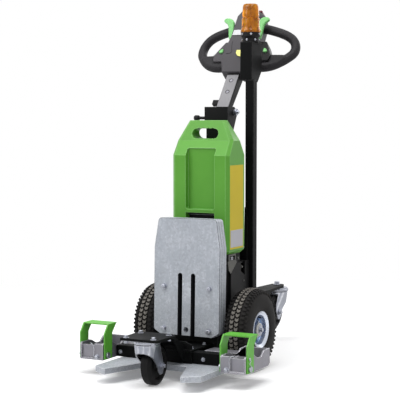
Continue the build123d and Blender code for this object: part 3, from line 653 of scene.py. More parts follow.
class Bench:
    """Models pieces with Blender's own operators, one at a time."""

    def __init__(self, frame: dict, paint: Paintshop) -> None:
        """Keep the frame's nodes and the paintshop.

        Args:
            paint: The paintshop that finishes pieces.
        """
        self.nodes: dict[str, bpy.types.Object] = frame["nodes"]
        self.paint = paint
        self.body: dict[str, str] = {}
        for body, members in frame["record"]["behaviour"]["bodies"].items():
            for member in members:
                self.body[member] = body
        self.slot: dict[str, str] = {
            entry["node"]: entry["material_slot"] for entry in frame["record"]["subparts"]}

    @staticmethod
    def clear() -> None:
        """Deselect everything."""
        if bpy.context.object and bpy.context.object.mode != "OBJECT":
            bpy.ops.object.mode_set(mode="OBJECT")
        bpy.ops.object.select_all(action="DESELECT")

    def pick(self, piece: bpy.types.Object) -> bpy.types.Object:
        """Make a piece the only selected and the active object, and return it."""
        self.clear()
        piece.select_set(True)
        bpy.context.view_layer.objects.active = piece
        return piece

    def settle(self, name: str) -> bpy.types.Object:
        """Name the active object and put its place into its mesh.

        Args:
            name: The piece's name.

        Returns:
            The piece, at the origin, unturned and unscaled.
        """
        piece = bpy.context.object
        piece.name = piece.data.name = name
        bpy.ops.object.transform_apply(location=True, rotation=True, scale=True)
        return piece

    def block(self, name: str, low: Vector, high: Vector) -> bpy.types.Object:
        """Add a box between two corners.

        Args:
            name: The piece's name.
            low: Its lowest corner in metres.
            high: Its highest corner in metres.

        Returns:
            The box.
        """
        self.clear()
        bpy.ops.mesh.primitive_cube_add(size=1.0, location=(low + high) / 2)
        bpy.context.object.scale = high - low
        return self.settle(name)

    def disc(self, name: str, centre: Vector, axis: Vector, radius: float, depth: float,
             sides: int = 48) -> bpy.types.Object:
        """Add a cylinder.

        Args:
            name: The piece's name.
            centre: Its centre in metres.
            axis: The direction of its axis.
            radius: Its radius in metres.
            depth: Its length in metres.
            sides: How many sides it has.

        Returns:
            The cylinder.
        """
        self.clear()
        turn = axis.to_track_quat("Z", "Y").to_euler()
        bpy.ops.mesh.primitive_cylinder_add(vertices=sides, radius=radius, depth=depth,
                                            location=centre, rotation=turn)
        return self.settle(name)

    def loop(self, name: str, corners: Sequence[Vector], fill: str) -> bpy.types.Object:
        """Draw a closed outline by moving a circle's points to its corners.

        Args:
            name: The piece's name.
            corners: The corners in order, in metres.
            fill: NGON for a face, NOTHING for bare edges.

        Returns:
            The outline, selected all over.
        """
        self.clear()
        bpy.ops.mesh.primitive_circle_add(vertices=len(corners), fill_type=fill)
        piece = self.settle(name)
        for vertex, corner in zip(piece.data.vertices, corners):
            vertex.co = corner
        return piece

    def plate(self, name: str, corners: Sequence[Vector], rise: Vector) -> bpy.types.Object:
        """Raise a flat plate from its outline.

        Args:
            name: The piece's name.
            corners: The outline's corners in order, in metres.
            rise: How far and which way it is raised, in metres.

        Returns:
            The plate.
        """
        piece = self.loop(name, corners, "NGON")
        bpy.ops.object.mode_set(mode="EDIT")
        bpy.ops.mesh.select_all(action="SELECT")
        bpy.ops.mesh.extrude_region_move(TRANSFORM_OT_translate={"value": rise})
        bpy.ops.object.mode_set(mode="OBJECT")
        return self.mend(piece)

    def wire(self, name: str, points: Sequence[Vector], radius: float) -> bpy.types.Object:
        """Bend a round wire through points.

        Args:
            name: The piece's name.
            points: The points of its middle line in metres.
            radius: Its radius in metres.

        Returns:
            The wire as a mesh.
        """
        path = bpy.data.curves.new(name, "CURVE")
        path.dimensions = "3D"
        path.bevel_depth, path.bevel_resolution, path.resolution_u = radius, 2, 6
        path.use_fill_caps = True
        line = path.splines.new("BEZIER")
        line.bezier_points.add(len(points) - 1)
        for knot, point in zip(line.bezier_points, points):
            knot.co = point
            knot.handle_left_type = knot.handle_right_type = "AUTO"
        piece = bpy.data.objects.new(name, path)
        bpy.context.scene.collection.objects.link(piece)
        self.pick(piece)
        bpy.ops.object.convert(target="MESH")
        piece = bpy.context.object
        piece.name = piece.data.name = name
        bpy.ops.object.shade_smooth()
        return piece

    def lathe(self, name: str, foot: Vector, axis: Vector, profile: Sequence[tuple[float, float]],
              steps: int = 64) -> bpy.types.Object:
        """Spin a profile round an axis.

        Args:
            name: The piece's name.
            foot: A point of the axis in metres.
            axis: The axis, along which the heights are measured.
            profile: Radius and height of each point in millimetres.
            steps: How many faces go round.

        Returns:
            The turned piece.
        """
        side = axis.orthogonal().normalized()
        points = [foot + (side * r + axis * h) / 1000.0 for r, h in profile]
        piece = self.loop(name, points, "NOTHING")
        bpy.ops.object.mode_set(mode="EDIT")
        bpy.ops.mesh.select_all(action="SELECT")
        bpy.ops.mesh.spin(steps=steps, angle=math.tau, center=foot, axis=axis)
        bpy.ops.mesh.select_all(action="SELECT")
        bpy.ops.mesh.remove_doubles(threshold=1e-5)
        bpy.ops.mesh.delete_loose()
        bpy.ops.object.mode_set(mode="OBJECT")
        self.mend(piece)
        self.pick(piece)
        bpy.ops.object.shade_smooth_by_angle(angle=math.radians(35))
        return piece

    def select_faces(self, piece: bpy.types.Object, test: FaceTest) -> None:
        """Select the faces that pass a test, from object mode.

        Args:
            piece: The mesh object.
            test: Called with each face, and selects it where true.
        """
        self.pick(piece)
        mesh = piece.data
        for group in (mesh.vertices, mesh.edges, mesh.polygons):
            group.foreach_set("select", [False] * len(group))
        for face in mesh.polygons:
            if test(face):
                face.select = True

    def edit(self, piece: bpy.types.Object, steps: Callable[[], None]) -> None:
        """Run edit-mode operators on the selected faces of a piece.

        Args:
            piece: The mesh object.
            steps: What is done in edit mode.
        """
        bpy.context.view_layer.objects.active = piece
        bpy.ops.object.mode_set(mode="EDIT")
        bpy.ops.mesh.select_mode(type="FACE")
        steps()
        bpy.ops.object.mode_set(mode="OBJECT")

    def modify(self, piece: bpy.types.Object, kind: str, **values: object) -> bpy.types.Object:
        """Add a modifier and apply it.

        Args:
            piece: The mesh object.
            kind: The modifier's type.
            values: Its settings.

        Returns:
            The piece.
        """
        self.pick(piece)
        modifier = piece.modifiers.new(kind.lower(), kind)
        for name, value in values.items():
            setattr(modifier, name, value)
        bpy.ops.object.modifier_apply(modifier=modifier.name)
        return piece

    def round_off(self, piece: bpy.types.Object, width: float, segments: int = 2,
                  angle: float = 35.0, smooth: float = 30.0) -> bpy.types.Object:
        """Round the sharp edges of a piece and shade it.

        Args:
            piece: The mesh object.
            width: The width of the rounding in metres.
            segments: How many faces cross it.
            angle: The edge angle in degrees above which an edge is rounded.
            smooth: The angle in degrees up to which faces are shaded smooth.

        Returns:
            The piece.
        """
        if width:
            self.modify(piece, "BEVEL", width=width, segments=segments, limit_method="ANGLE",
                        angle_limit=math.radians(angle), use_clamp_overlap=True,
                        harden_normals=False)
        self.pick(piece)
        bpy.ops.object.shade_smooth_by_angle(angle=math.radians(smooth))
        if width:
            self.modify(piece, "WEIGHTED_NORMAL", keep_sharp=True, weight=60)
        return piece

    def mend(self, piece: bpy.types.Object) -> bpy.types.Object:
        """Merge doubled points and point all faces outwards."""
        self.pick(piece)
        bpy.ops.object.mode_set(mode="EDIT")
        bpy.ops.mesh.select_all(action="SELECT")
        bpy.ops.mesh.remove_doubles(threshold=1e-5)
        bpy.ops.mesh.normals_make_consistent(inside=False)
        bpy.ops.object.mode_set(mode="OBJECT")
        return piece

    def copy(self, piece: bpy.types.Object, name: str, move: Matrix | None = None
             ) -> bpy.types.Object:
        """Copy a piece with its own mesh, moved by a matrix if one is given."""
        twin = piece.copy()
        twin.data = piece.data.copy()
        twin.name = twin.data.name = name
        twin.parent = None
        for key in list(twin.keys()):
            del twin[key]
        bpy.context.scene.collection.objects.link(twin)
        if move is not None:
            twin.data.transform(move)
            if move.determinant() < 0:
                self.mend(twin)
        return twin

    def soften(self, piece: bpy.types.Object, voxel: float, passes: int) -> bpy.types.Object:
        """Melt a piece's parts into one smooth moulding.

        Args:
            piece: The mesh object.
            voxel: The size of the new mesh's faces in metres.
            passes: How often it is smoothed.

        Returns:
            The piece.
        """
        self.modify(piece, "REMESH", mode="VOXEL", voxel_size=voxel)
        self.modify(piece, "SMOOTH", factor=0.6, iterations=passes)
        self.pick(piece)
        bpy.ops.object.shade_smooth()
        return piece

    def join(self, pieces: Sequence[bpy.types.Object], name: str) -> bpy.types.Object:
        """Join pieces into one object with the given name."""
        self.clear()
        for piece in pieces:
            piece.select_set(True)
        bpy.context.view_layer.objects.active = pieces[0]
        if len(pieces) > 1:
            bpy.ops.object.join()
        joined = bpy.context.object
        joined.name = joined.data.name = name
        return joined

    def fit(self, piece: bpy.types.Object, body: str, finish: str, slot: str | None = None,
            replaces: Sequence[str] = ()) -> bpy.types.Object:
        """Finish a piece, let it ride on its body and report it.

        Args:
            piece: The piece.
            body: The CAD body that it moves with.
            finish: The finish's name.
            slot: The record's slot, not used.
            replaces: The CAD nodes that the piece stands for.

        Returns:
            The piece.
        """
        self.paint.coat(piece, finish)
        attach(piece, body)
        if replaces:
            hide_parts(*replaces)
        LOG.info("%s rides on %s, %d faces", piece.name, body, len(piece.data.polygons))
        return piece

    def dress(self, node: str, width: float = 0.0, segments: int = 2, finish: str | None = None,
              angle: float = 35.0) -> bpy.types.Object:
        """Give a CAD node its finish, with rounded edges in a copy where a width is given.

        Args:
            node: The CAD node's name.
            width: The edge rounding in metres, 0 to keep the node itself.
            segments: How many faces cross the rounding.
            finish: The finish's name, or None for the node's slot.
            angle: The edge angle in degrees above which an edge is rounded.

        Returns:
            The node or the rounded copy that stands for it.
        """
        finish = finish or self.slot[node]
        if not width:
            self.paint.coat(self.nodes[node], finish)
            return self.nodes[node]
        skin = self.round_off(self.skin(node), width, segments, angle)
        return self.fit(skin, self.body[node], finish, self.slot[node], (node,))

    def skin(self, node: str) -> bpy.types.Object:
        """Return a copy of a CAD node with merged points and whole flat faces."""
        skin = self.copy(self.nodes[node], f"{node}_skin")
        self.mend(skin)
        return self.modify(skin, "DECIMATE", decimate_type="DISSOLVE",
                           angle_limit=math.radians(0.5))


# Studio


@dataclass
class Studio:
    """Camera, pale floor and soft light."""

    azimuth: float = 27.43
    elevation: float = 3.82
    distance: float = 4.11198
    lens: float = 117.07
    aim: Point = (0.0, -0.12335, 0.53471)
    lit: Point = (0.0, -0.1, 0.4)
    lamps: tuple[tuple[str, Point, float, float], ...] = (
        # name, place, width in metres, watts
        ("key", (-1.6, -2.2, 2.6), 2.3, 55.0), ("top", (0.3, -0.5, 3.0), 2.6, 64.0),
        ("fill", (2.6, -2.0, 1.2), 1.6, 6.0), ("back", (0.8, 2.6, 1.8), 1.6, 22.0))

    def build(self) -> None:
        """Make the camera, the floor and the lamps."""
        self.camera()
        self.floor()
        self.world()
        for name, place, size, power in self.lamps:
            self.lamp(name, Vector(place), size, power)

    def camera(self) -> None:
        """Place the camera at the photograph's viewpoint."""
        data = bpy.data.cameras.new("camera")
        data.lens, data.sensor_width = self.lens, 36.0
        data.clip_start, data.clip_end = 0.1, 60.0
        eye = bpy.data.objects.new("camera", data)
        bpy.context.scene.collection.objects.link(eye)
        a, e = math.radians(self.azimuth), math.radians(self.elevation)
        back = Vector((math.sin(a) * math.cos(e), -math.cos(a) * math.cos(e), math.sin(e)))
        eye.location = Vector(self.aim) + back * self.distance
        eye.rotation_euler = (-back).to_track_quat("-Z", "Y").to_euler()
        bpy.context.scene.camera = eye

    def floor(self) -> None:
        """Lay a wide floor that the camera sees as white outside the shadow."""
        bpy.ops.object.select_all(action="DESELECT")
        bpy.ops.mesh.primitive_circle_add(vertices=96, radius=14.0, fill_type="NGON")
        plane = bpy.context.object
        plane.name = plane.data.name = "floor"
        material = bpy.data.materials.new("floor")
        material.use_nodes = True
        material.node_tree.nodes.clear()
        g = Graph(material.node_tree)
        plain = g.add("BsdfDiffuse", Color=(0.74, 0.74, 0.745))
        pale = g.add("BsdfDiffuse", Color=(0.93, 0.93, 0.935))
        light = g.add("Emission", Color=(1.0, 1.0, 1.0), Strength=1.0)
        place = g.add("TexCoord").outputs["Object"]
        reach = g.add("VectorMath", operation="LENGTH")
        g.feed(reach, 0, place)
        far = g.ramp(reach.outputs["Value"], 0.9, 2.2)
        path = g.add("LightPath")
        seen = g.math("MAXIMUM", path.outputs["Is Camera Ray"], path.outputs["Is Glossy Ray"])
        glow = g.add("Emission", Color=(1.0, 1.0, 1.0), Strength=0.16)
        near = g.add("AddShader")
        g.feed(near, 0, pale.outputs[0])
        g.feed(near, 1, glow.outputs[0])
        shown = g.add("MixShader")
        g.feed(shown, 0, far)
        g.feed(shown, 1, near.outputs[0])
        g.feed(shown, 2, light.outputs[0])
        both = g.add("MixShader")
        g.feed(both, 0, seen)
        g.feed(both, 1, plain.outputs[0])
        g.feed(both, 2, shown.outputs[0])
        out = g.add("OutputMaterial")
        g.feed(out, "Surface", both.outputs[0])
        plane.data.materials.append(material)

    def world(self) -> None:
        """Surround the scene with plain light that the camera sees as white."""
        world = bpy.data.worlds.new("studio")
        bpy.context.scene.world = world
        world.use_nodes = True
        world.node_tree.nodes.clear()
        g = Graph(world.node_tree)
        path = g.add("LightPath")
        seen = g.math("MAXIMUM", path.outputs["Is Camera Ray"],
                      g.math("MAXIMUM", path.outputs["Is Glossy Ray"],
                             path.outputs["Is Transmission Ray"]))
        light = g.add("Background", Color=(1.0, 1.0, 1.0))
        g.feed(light, "Strength", g.between(seen, 0.38, 1.0))
        out = g.add("OutputWorld")
        g.feed(out, "Surface", light.outputs[0])
        bpy.context.scene.view_settings.view_transform = "Standard"

    def lamp(self, name: str, place: Vector, size: float, power: float) -> None:
        """Hang one soft lamp that faces the machine.

        Args:
            name: The lamp's name.
            place: Where it hangs, in metres.
            size: Its width in metres.
            power: Its power in watts.
        """
        data = bpy.data.lights.new(name, "AREA")
        data.shape, data.size, data.energy = "DISK", size, power
        lamp = bpy.data.objects.new(name, data)
        lamp.location = place
        lamp.rotation_euler = (place - Vector(self.lit)).to_track_quat("Z", "Y").to_euler()
        bpy.context.scene.collection.objects.link(lamp)


# The machine


@dataclass
class Fasteners:
    """Hexagon heads with washers, modelled once and copied to each place."""

    bench: Bench
    heads: dict[float, bpy.types.Object] = field(default_factory=dict)

    def head(self, across: float) -> bpy.types.Object:
        """Return the template head for a size across flats, standing on the origin along Z."""
        if across in self.heads:
            return self.heads[across]
        b = self.bench
        washer = b.disc("washer", Vector((0, 0, across * 0.06)), Vector((0, 0, 1)),
                        across * 0.82, across * 0.12, 32)
        hexagon = b.disc("hexagon", Vector((0, 0, across * 0.4)), Vector((0, 0, 1)),
                         across * 0.577, across * 0.56, 6)
        b.select_faces(hexagon, lambda f: f.normal.z > 0.9)
        b.edit(hexagon, lambda: (bpy.ops.mesh.inset(thickness=across * 0.1),
                                 bpy.ops.mesh.inset(thickness=across * 0.04, depth=across * 0.05)))
        b.round_off(hexagon, across * 0.03, 2, 20.0)
        b.round_off(washer, across * 0.03, 2)
        made = b.join([washer, hexagon], "fastener")
        self.heads[across] = made
        return made

    def put(self, name: str, body: str, finish: str,
            places: Iterable[tuple[Vector, Vector, float]]) -> bpy.types.Object:
        """Copy heads to their places as one piece.

        Args:
            name: The piece's name.
            body: The body that they ride on.
            finish: Their finish.
            places: Each one's foot, outward direction and size across flats, all in metres.

        Returns:
            The joined piece.
        """
        made = []
        for index, (foot, out, across) in enumerate(places):
            turn = out.to_track_quat("Z", "Y").to_matrix().to_4x4()
            move = Matrix.Translation(foot) @ turn @ Matrix.Rotation(0.35 * index, 4, "Z")
            made.append(self.bench.copy(self.head(across), f"{name}_{index}", move))
        return self.bench.fit(self.bench.join(made, name), body, finish)

    def tidy(self) -> None:
        """Remove the templates."""
        for template in self.heads.values():
            bpy.data.objects.remove(template)


@dataclass
class PlainParts:
    """CAD nodes that keep their shape, with rounded edges and finishes."""

    bench: Bench
    rounded: tuple[tuple[str, float], ...] = (
        ("base_plate", 0.0012), ("chassis", 0.0015), ("ballast_plate_1", 0.0016),
        ("ballast_plate_2", 0.0016), ("ballast_plate_3", 0.0016), ("battery_box", 0.0028),
        ("battery_tray", 0.002), ("latch", 0.0006), ("tiller_bracket", 0.0015),
        ("tiller_arm", 0.0015), ("arm_insert", 0.0008), ("tiller_head", 0.004),
        ("mast_post", 0.0025), ("beacon_bracket", 0.002), ("crossbar", 0.0025),
        ("front_bracket", 0.0012), ("gripper_left", 0.0008), ("gripper_right", 0.0008),
        ("lever_left", 0.0012), ("lever_right", 0.0012), ("front_caster_head", 0.0006),
        ("rear_caster_head", 0.0006), ("reverse_button", 0.003), ("display_panel", 0.0004))
    # The latch's dark zinc is painted shade
    special: tuple[tuple[str, str], ...] = (
        ("reverse_button", "red_rubber"), ("display_panel", "dark_glass"), ("latch", "dark_zinc"),
        ("mast_post", "mast_paint"), ("beacon_bracket", "mast_paint"),
        ("front_bracket", "mast_paint"), ("crossbar", "mast_paint"), ("rim_left", "rim_zinc"),
        ("rim_right", "rim_zinc"), ("gripper_left", "dull_zinc"), ("gripper_right", "dull_zinc"))
    remade: tuple[str, ...] = ("tyre_", "handle_", "beacon_lens", "thumb_lever", "rear_arm")
    seam_front: float = -0.196
    seam_back: float = -0.190
    slot_middle: float = 0.0227
    slot_half: float = 0.0078
    slot_top: float = 0.325
    shoulder: float = 0.068

    def build(self) -> None:
        """Dress each node."""
        widths, special = dict(self.rounded), dict(self.special)
        for node in sorted(self.bench.nodes):
            if node.startswith(self.remade):
                continue
            if node.endswith("_fork"):
                self.fork(node)
                continue
            fine = node == "battery_box"
            skin = self.bench.dress(node, widths.get(node, 0.0), 3 if fine else 2,
                                    special.get(node), 8.0 if fine else 35.0)
            # Painted shade: the slot walls and the edges in the seams between plates are made
            # near-black
            if node.startswith("ballast"):
                self.bench.paint.touch_up(skin, "painted_shade_zinc", self.in_slot)
                low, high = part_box(node)
                front, back = high[1] < self.seam_front, low[1] > self.seam_back
                self.bench.paint.touch_up(skin, "painted_shade_zinc", lambda f: self.in_seam(
                    f.normal.dot(PLATE_OUT), front, back))
            # Faces right of the shoulder line are made dark with the black plastic finish; the left
            # shoulder stays grey
            if node == "tiller_head":
                self.bench.paint.touch_up(skin, "black_plastic",
                                          lambda f: f.center.x > self.shoulder)

    @staticmethod
    def in_seam(facing: float, front: bool, back: bool) -> bool:
        """Return whether a rounded edge of a ballast plate lies against its neighbour.

        Args:
            facing: How far the face looks to the front.
            front: Whether it is on the foremost plate.
            back: Whether it is on the rearmost plate.

        Returns:
            True for the rounding that lies in a seam.
        """
        return (-0.96 < facing < -0.3 and not back) or (0.3 < facing < 0.96 and not front)

    def in_slot(self, face: bpy.types.MeshPolygon) -> bool:
        """Return whether a face of a ballast plate is a wall of its slots."""
        aside = abs(abs(face.center.x) - self.slot_middle)
        near = aside < self.slot_half and face.center.z < self.slot_top
        return near and abs(face.normal.y) < 0.3

    def fork(self, node: str) -> None:
        """Round a caster fork's pressed bell and keep its cut edges crisp.

        Args:
            node: The fork's node.
        """
        b = self.bench
        skin = b.round_off(b.skin(node), 0.0007, 2, 50.0, 45.0)
        b.fit(skin, b.body[node], b.slot[node], b.slot[node], (node,))


@dataclass
class Ballast:
    """Bolts through the stack of plates."""

    bench: Bench
    bolts: Fasteners
    aside: float = 79.5
    heights: tuple[float, float] = (135.0, 267.0)
    across: float = 0.0125

    def build(self) -> None:
        """Put the four bolts in."""
        self.bolts.put("ballast_bolts", "tug", "zinc_plated",
                       [(on_ballast(x, z), PLATE_OUT, self.across)
                        for x in (-self.aside, self.aside) for z in self.heights])


@dataclass
class Battery:
    """Plain panels, finger ridges and the metal strip of the battery pack."""

    bench: Bench
    half: float = 101.0
    ridge_count: int = 12
    ridge_low: tuple[float, float, float] = (92.0, -2.4, 727.0)
    ridge_high: tuple[float, float, float] = (62.4, 11.6, 782.0)

    def build(self) -> None:
        """Add what lies on the pack's shell."""
        b = self.bench
        for name, finish, low, high, thick in (
                ("panel_yellow", "yellow_film", (-28, 380), (67, 645), 0.5),
                ("panel_pale", "pale_film", (-24.5, 386), (63, 440), 0.9)):
            piece = b.block(name, at(self.half, low[0], low[1]),
                            at(self.half + thick, high[0], high[1]))
            b.fit(b.round_off(piece, 0.0002, 1), "tug", finish)
        strip = b.block("socket_strip", at(-50, -20, 486), at(50, -12, 489))
        b.fit(b.round_off(strip, 0.0006, 2), "tug", "silver_paint", "zinc_plated")
        self.ridges()

    def ridges(self) -> None:
        """Emboss a row of small wedges down both sloping corners of the top."""
        b = self.bench
        made = []
        for side in Side:
            low, high = (at(side.sign * x, y, z) for x, y, z in (self.ridge_low, self.ridge_high))
            run = (high - low).normalized()
            across = Vector((side.sign * 0.7071, 0.7071, 0.0)) * 0.0036
            out = across.cross(run).normalized() * -side.sign
            for index in range(self.ridge_count):
                foot = low.lerp(high, (index + 0.5) / self.ridge_count) + run * 0.0008
                half = run * 0.0011
                corners = [foot - across - half * 2, foot + across, foot + across + half * 2,
                           foot - across + half * 0.2]
                bar = b.plate(f"ridge_{side.tag}_{index}", corners, out * 0.0022)
                made.append(b.round_off(bar, 0.0004, 1))
        b.fit(b.join(made, "battery_ridges"), "tug", "green_plastic")


@dataclass
class TillerTop:
    """Soft grips, display strip, keys and fittings of the tiller head."""

    bench: Bench
    bolts: Fasteners
    front: tuple[tuple[float, float], ...] = ((147, 25), (192, 36), (236, 45), (285, 46),
                                              (373, 46), (397, 38))
    loop_path: tuple[tuple[float, float, float], ...] = (
        (30, 350, 3), (60, 349, -2), (88, 343, -6), (116, 335, -10), (142, 325, -16),
        (161, 311, -23), (171, 290, -28), (170, 266, -29), (157, 243, -25), (139, 222, -20),
        (115, 204, -16), (90, 195, -13), (60, 193, -11))
    bar: tuple[tuple[float, float], ...] = (
        (45, 184), (95, 185), (120, 194), (140, 208), (157, 229), (152, 242), (104, 244), (45, 244))
    tube_radius: float = 0.0165
    bar_front: float = -3.0
    bar_thickness: float = 0.024
    plug_places: tuple[float, float] = (71.6, 118.6)
    ring_outline: tuple[tuple[float, float], ...] = (
        (5.6, 0.0), (5.6, 0.9), (6.4, 1.3), (7.2, 0.9), (7.4, 0.0))
    wing_outline: tuple[tuple[float, float], ...] = (
        (44, -5), (58, -5), (62, 12), (64, 30), (66, 42), (71, 50), (78, 54), (84, 59),
        (83, 66), (76, 70), (62, 69.5), (52, 64), (46, 55), (45, 42), (44, 20))
    wing_lean: float = TILT_LEAN - math.radians(23.5)
    key_outline: tuple[tuple[float, float], ...] = (
        (72, 244), (82, 242), (88, 247), (80, 258), (73, 260))
    cover_seam: tuple[tuple[float, float], ...] = (
        (-25, 262), (-24, 250), (-21, 232), (-18, 222), (-20, 216), (-27, 213.5), (-38, 213))
    shoulder_seam: tuple[tuple[float, float], ...] = ((98, 209), (103, 216), (103.5, 238))

    def build(self) -> None:
        """Add everything that lies on the head."""
        for side in Side:
            self.grip(side)
            self.key(side)
            self.wing(side)
        self.display()
        self.badge()
        self.seams()
        self.arm()

    def face(self, u: float) -> float:
        """Return how far the head's front stands out at a place along the arm."""
        for (low, a), (high, b) in zip(self.front, self.front[1:]):
            if u <= high:
                return a + (b - a) * (u - low) / (high - low)
        return self.front[-1][1]

    def grip(self, side: Side) -> None:
        """Blend a handle's tube and its flat lower bar into one soft grip.

        Args:
            side: Which handle it is.
        """
        b = self.bench
        node = f"handle_{side.tag}"
        tube = b.wire(f"{node}_tube", [tiller(side.sign * x, u, n) for x, u, n in self.loop_path],
                      self.tube_radius)
        bar = b.plate(f"{node}_bar",
                      [tiller(side.sign * x, u, self.bar_front) for x, u in self.bar],
                      TILLER_OUT * -self.bar_thickness)
        piece = b.join([tube, b.round_off(bar, 0.006, 3)], f"{node}_grip")
        b.fit(b.soften(piece, 0.0022, 12), "tiller", "grip_rubber", b.slot[node], (node,))

    def wing(self, side: Side) -> None:
        """Shape a green thumb lever as a smooth curved wing.

        Args:
            side: Which side of the head it is on.
        """
        b = self.bench
        node = f"thumb_lever_{side.tag}"
        up = Vector((0.0, math.sin(self.wing_lean), math.cos(self.wing_lean)))
        out = Vector((0.0, -math.cos(self.wing_lean), math.sin(self.wing_lean)))
        foot = tiller(0, 300, 12)
        piece = b.plate(f"{node}_wing", [foot + (RIGHT * (side.sign * x) + up * s) / 1000.0
                                         for x, s in self.wing_outline], out * 0.012)
        b.fit(b.soften(piece, 0.0014, 14), "tiller", "green_key", None, (node,))

    def key(self, side: Side) -> None:
        """Add one green rocker key on the shoulder.

        Args:
            side: Which shoulder it is on.
        """
        b = self.bench
        shift = 4.0 if side is Side.RIGHT else 0.0
        corners = [tiller(side.sign * (x + shift), u, 3.0) for x, u in self.key_outline]
        piece = b.plate(f"rocker_key_{side.tag}", corners, TILLER_OUT * 0.008)
        b.fit(b.round_off(piece, 0.0028, 3), "tiller", "green_key")

    def display(self) -> None:
        """Lay the silver strip and the grey cover over the display."""
        b = self.bench
        for name, finish, low, high in (("display_strip", "bright_film", 286.5, 309.0),
                                        ("display_cover", "grey_plastic", 311.0, 323.5)):
            outline = [(-33, low), (33, low), (33, high), (-33, high)]
            piece = b.plate(name, [tiller(x, u, 47.0) for x, u in outline], TILLER_OUT * 0.0012)
            b.fit(b.round_off(piece, 0.0005, 2), "tiller", finish)

    def badge(self) -> None:
        """Add the bare round badge beside the middle of the head."""
        b = self.bench
        piece = b.disc("round_badge", tiller(20, 220, self.face(220) + 0.2), TILLER_OUT, 0.021,
                       0.0018, 64)
        b.fit(b.round_off(piece, 0.0004, 2), "tiller", "badge_film")

    def seams(self) -> None:
        """Draw the cover's seam and the joints of the shoulders."""
        b = self.bench
        path = [tiller(x, u, self.face(u) + 0.1) for x, u in self.cover_seam]
        made = [b.wire("cover_seam", path, 0.0007)]
        for side in Side:
            line = [tiller(side.sign * x, u, 5.1) for x, u in self.shoulder_seam]
            made.append(b.wire(f"shoulder_seam_{side.tag}", line, 0.0006))
        b.fit(b.join(made, "tiller_seams"), "tiller", "black_plastic")

    def arm(self) -> None:
        """Line the arm's holes and put nuts on its pivot."""
        b = self.bench
        rings = []
        for u in self.plug_places:
            rings.append(b.lathe(f"arm_ring_{u:.0f}", tiller(0, u, 15.6), TILLER_OUT,
                                 self.ring_outline, 40))
            plug = b.disc(f"arm_plug_{u:.0f}", tiller(0, u, 14.4), TILLER_OUT, 0.0066, 0.003, 40)
            b.fit(b.round_off(plug, 0.0005, 2), "tiller", "dull_zinc")
        b.fit(b.join(rings, "arm_rings"), "tiller", "black_paint", "black_paint")
        self.bolts.put("pivot_nuts", "tug", "zinc_plated",
                       [(at(side.sign * 50, TILT_Y, TILT_Z), RIGHT * side.sign, 0.0095)
                        for side in Side])


@dataclass
class Beacon:
    """Amber lens in four lobes over its screwed base."""

    bench: Bench
    bolts: Fasteners
    x: float = 80.0
    y: float = 165.0
    outline: tuple[tuple[float, float], ...] = (
        (0, 1070), (32.6, 1070), (33, 1071), (33, 1076), (31.5, 1080), (29.8, 1084), (29.5, 1090),
        (29.5, 1112), (28.9, 1115), (26.4, 1117), (26.4, 1119), (28.0, 1121), (27.6, 1128),
        (26.4, 1150), (25.4, 1156), (22.0, 1160.5), (17.0, 1162), (0, 1162))
    core_outline: tuple[tuple[float, float], ...] = (
        (0, 1071), (19, 1071), (19, 1078), (13, 1082), (13, 1112), (8, 1118), (8, 1138),
        (5, 1146), (0, 1147))
    lobe_foot: float = 1.0775
    fold_turn: float = 90.0 - 27.4
    fold_depth: float = 0.085
    fold_width: float = 7.0
    screw_pitch: float = 1.047
    screw_rings: tuple[tuple[float, float, float], ...] = (
        # height, first angle, radius in metres
        (1064, 1.09, 0.0312), (1046, 1.6, 0.0267))

    def build(self) -> None:
        """Make the lens, its core and the screws."""
        b = self.bench
        foot = at(self.x, self.y, 0)
        lens = b.lathe("beacon_lens_lobes", foot, UP, self.outline, 144)
        self.fold(lens, foot)
        b.fit(lens, "tug", "amber_lens", None, ("beacon_lens",))
        places = []
        for index in range(6):
            for height, first, radius in self.screw_rings:
                turn = index * self.screw_pitch - first
                out = Vector((math.cos(turn), math.sin(turn), 0))
                places.append((at(self.x, self.y, height) + out * radius, out, 0.0042))
        self.bolts.put("beacon_screws", "tug", "zinc_plated", places)
        core = b.lathe("beacon_core", foot, UP, self.core_outline, 40)
        b.fit(core, "tug", "amber_core")

    def fold(self, lens: bpy.types.Object, foot: Vector) -> None:
        """Press the four folds between the lobes into the lens.

        Args:
            lens: The turned lens.
            foot: The point of its axis on the floor.
        """
        for vertex in lens.data.vertices:
            across = vertex.co - foot
            angle = math.atan2(across.y, across.x) + math.radians(self.fold_turn)
            fold = (math.degrees(angle) + 45.0) % 90.0 - 45.0
            lobe = 1.0 - self.fold_depth * math.exp(-(fold / self.fold_width) ** 2)
            if across.z > self.lobe_foot:
                vertex.co.x = foot.x + across.x * lobe
                vertex.co.y = foot.y + across.y * lobe


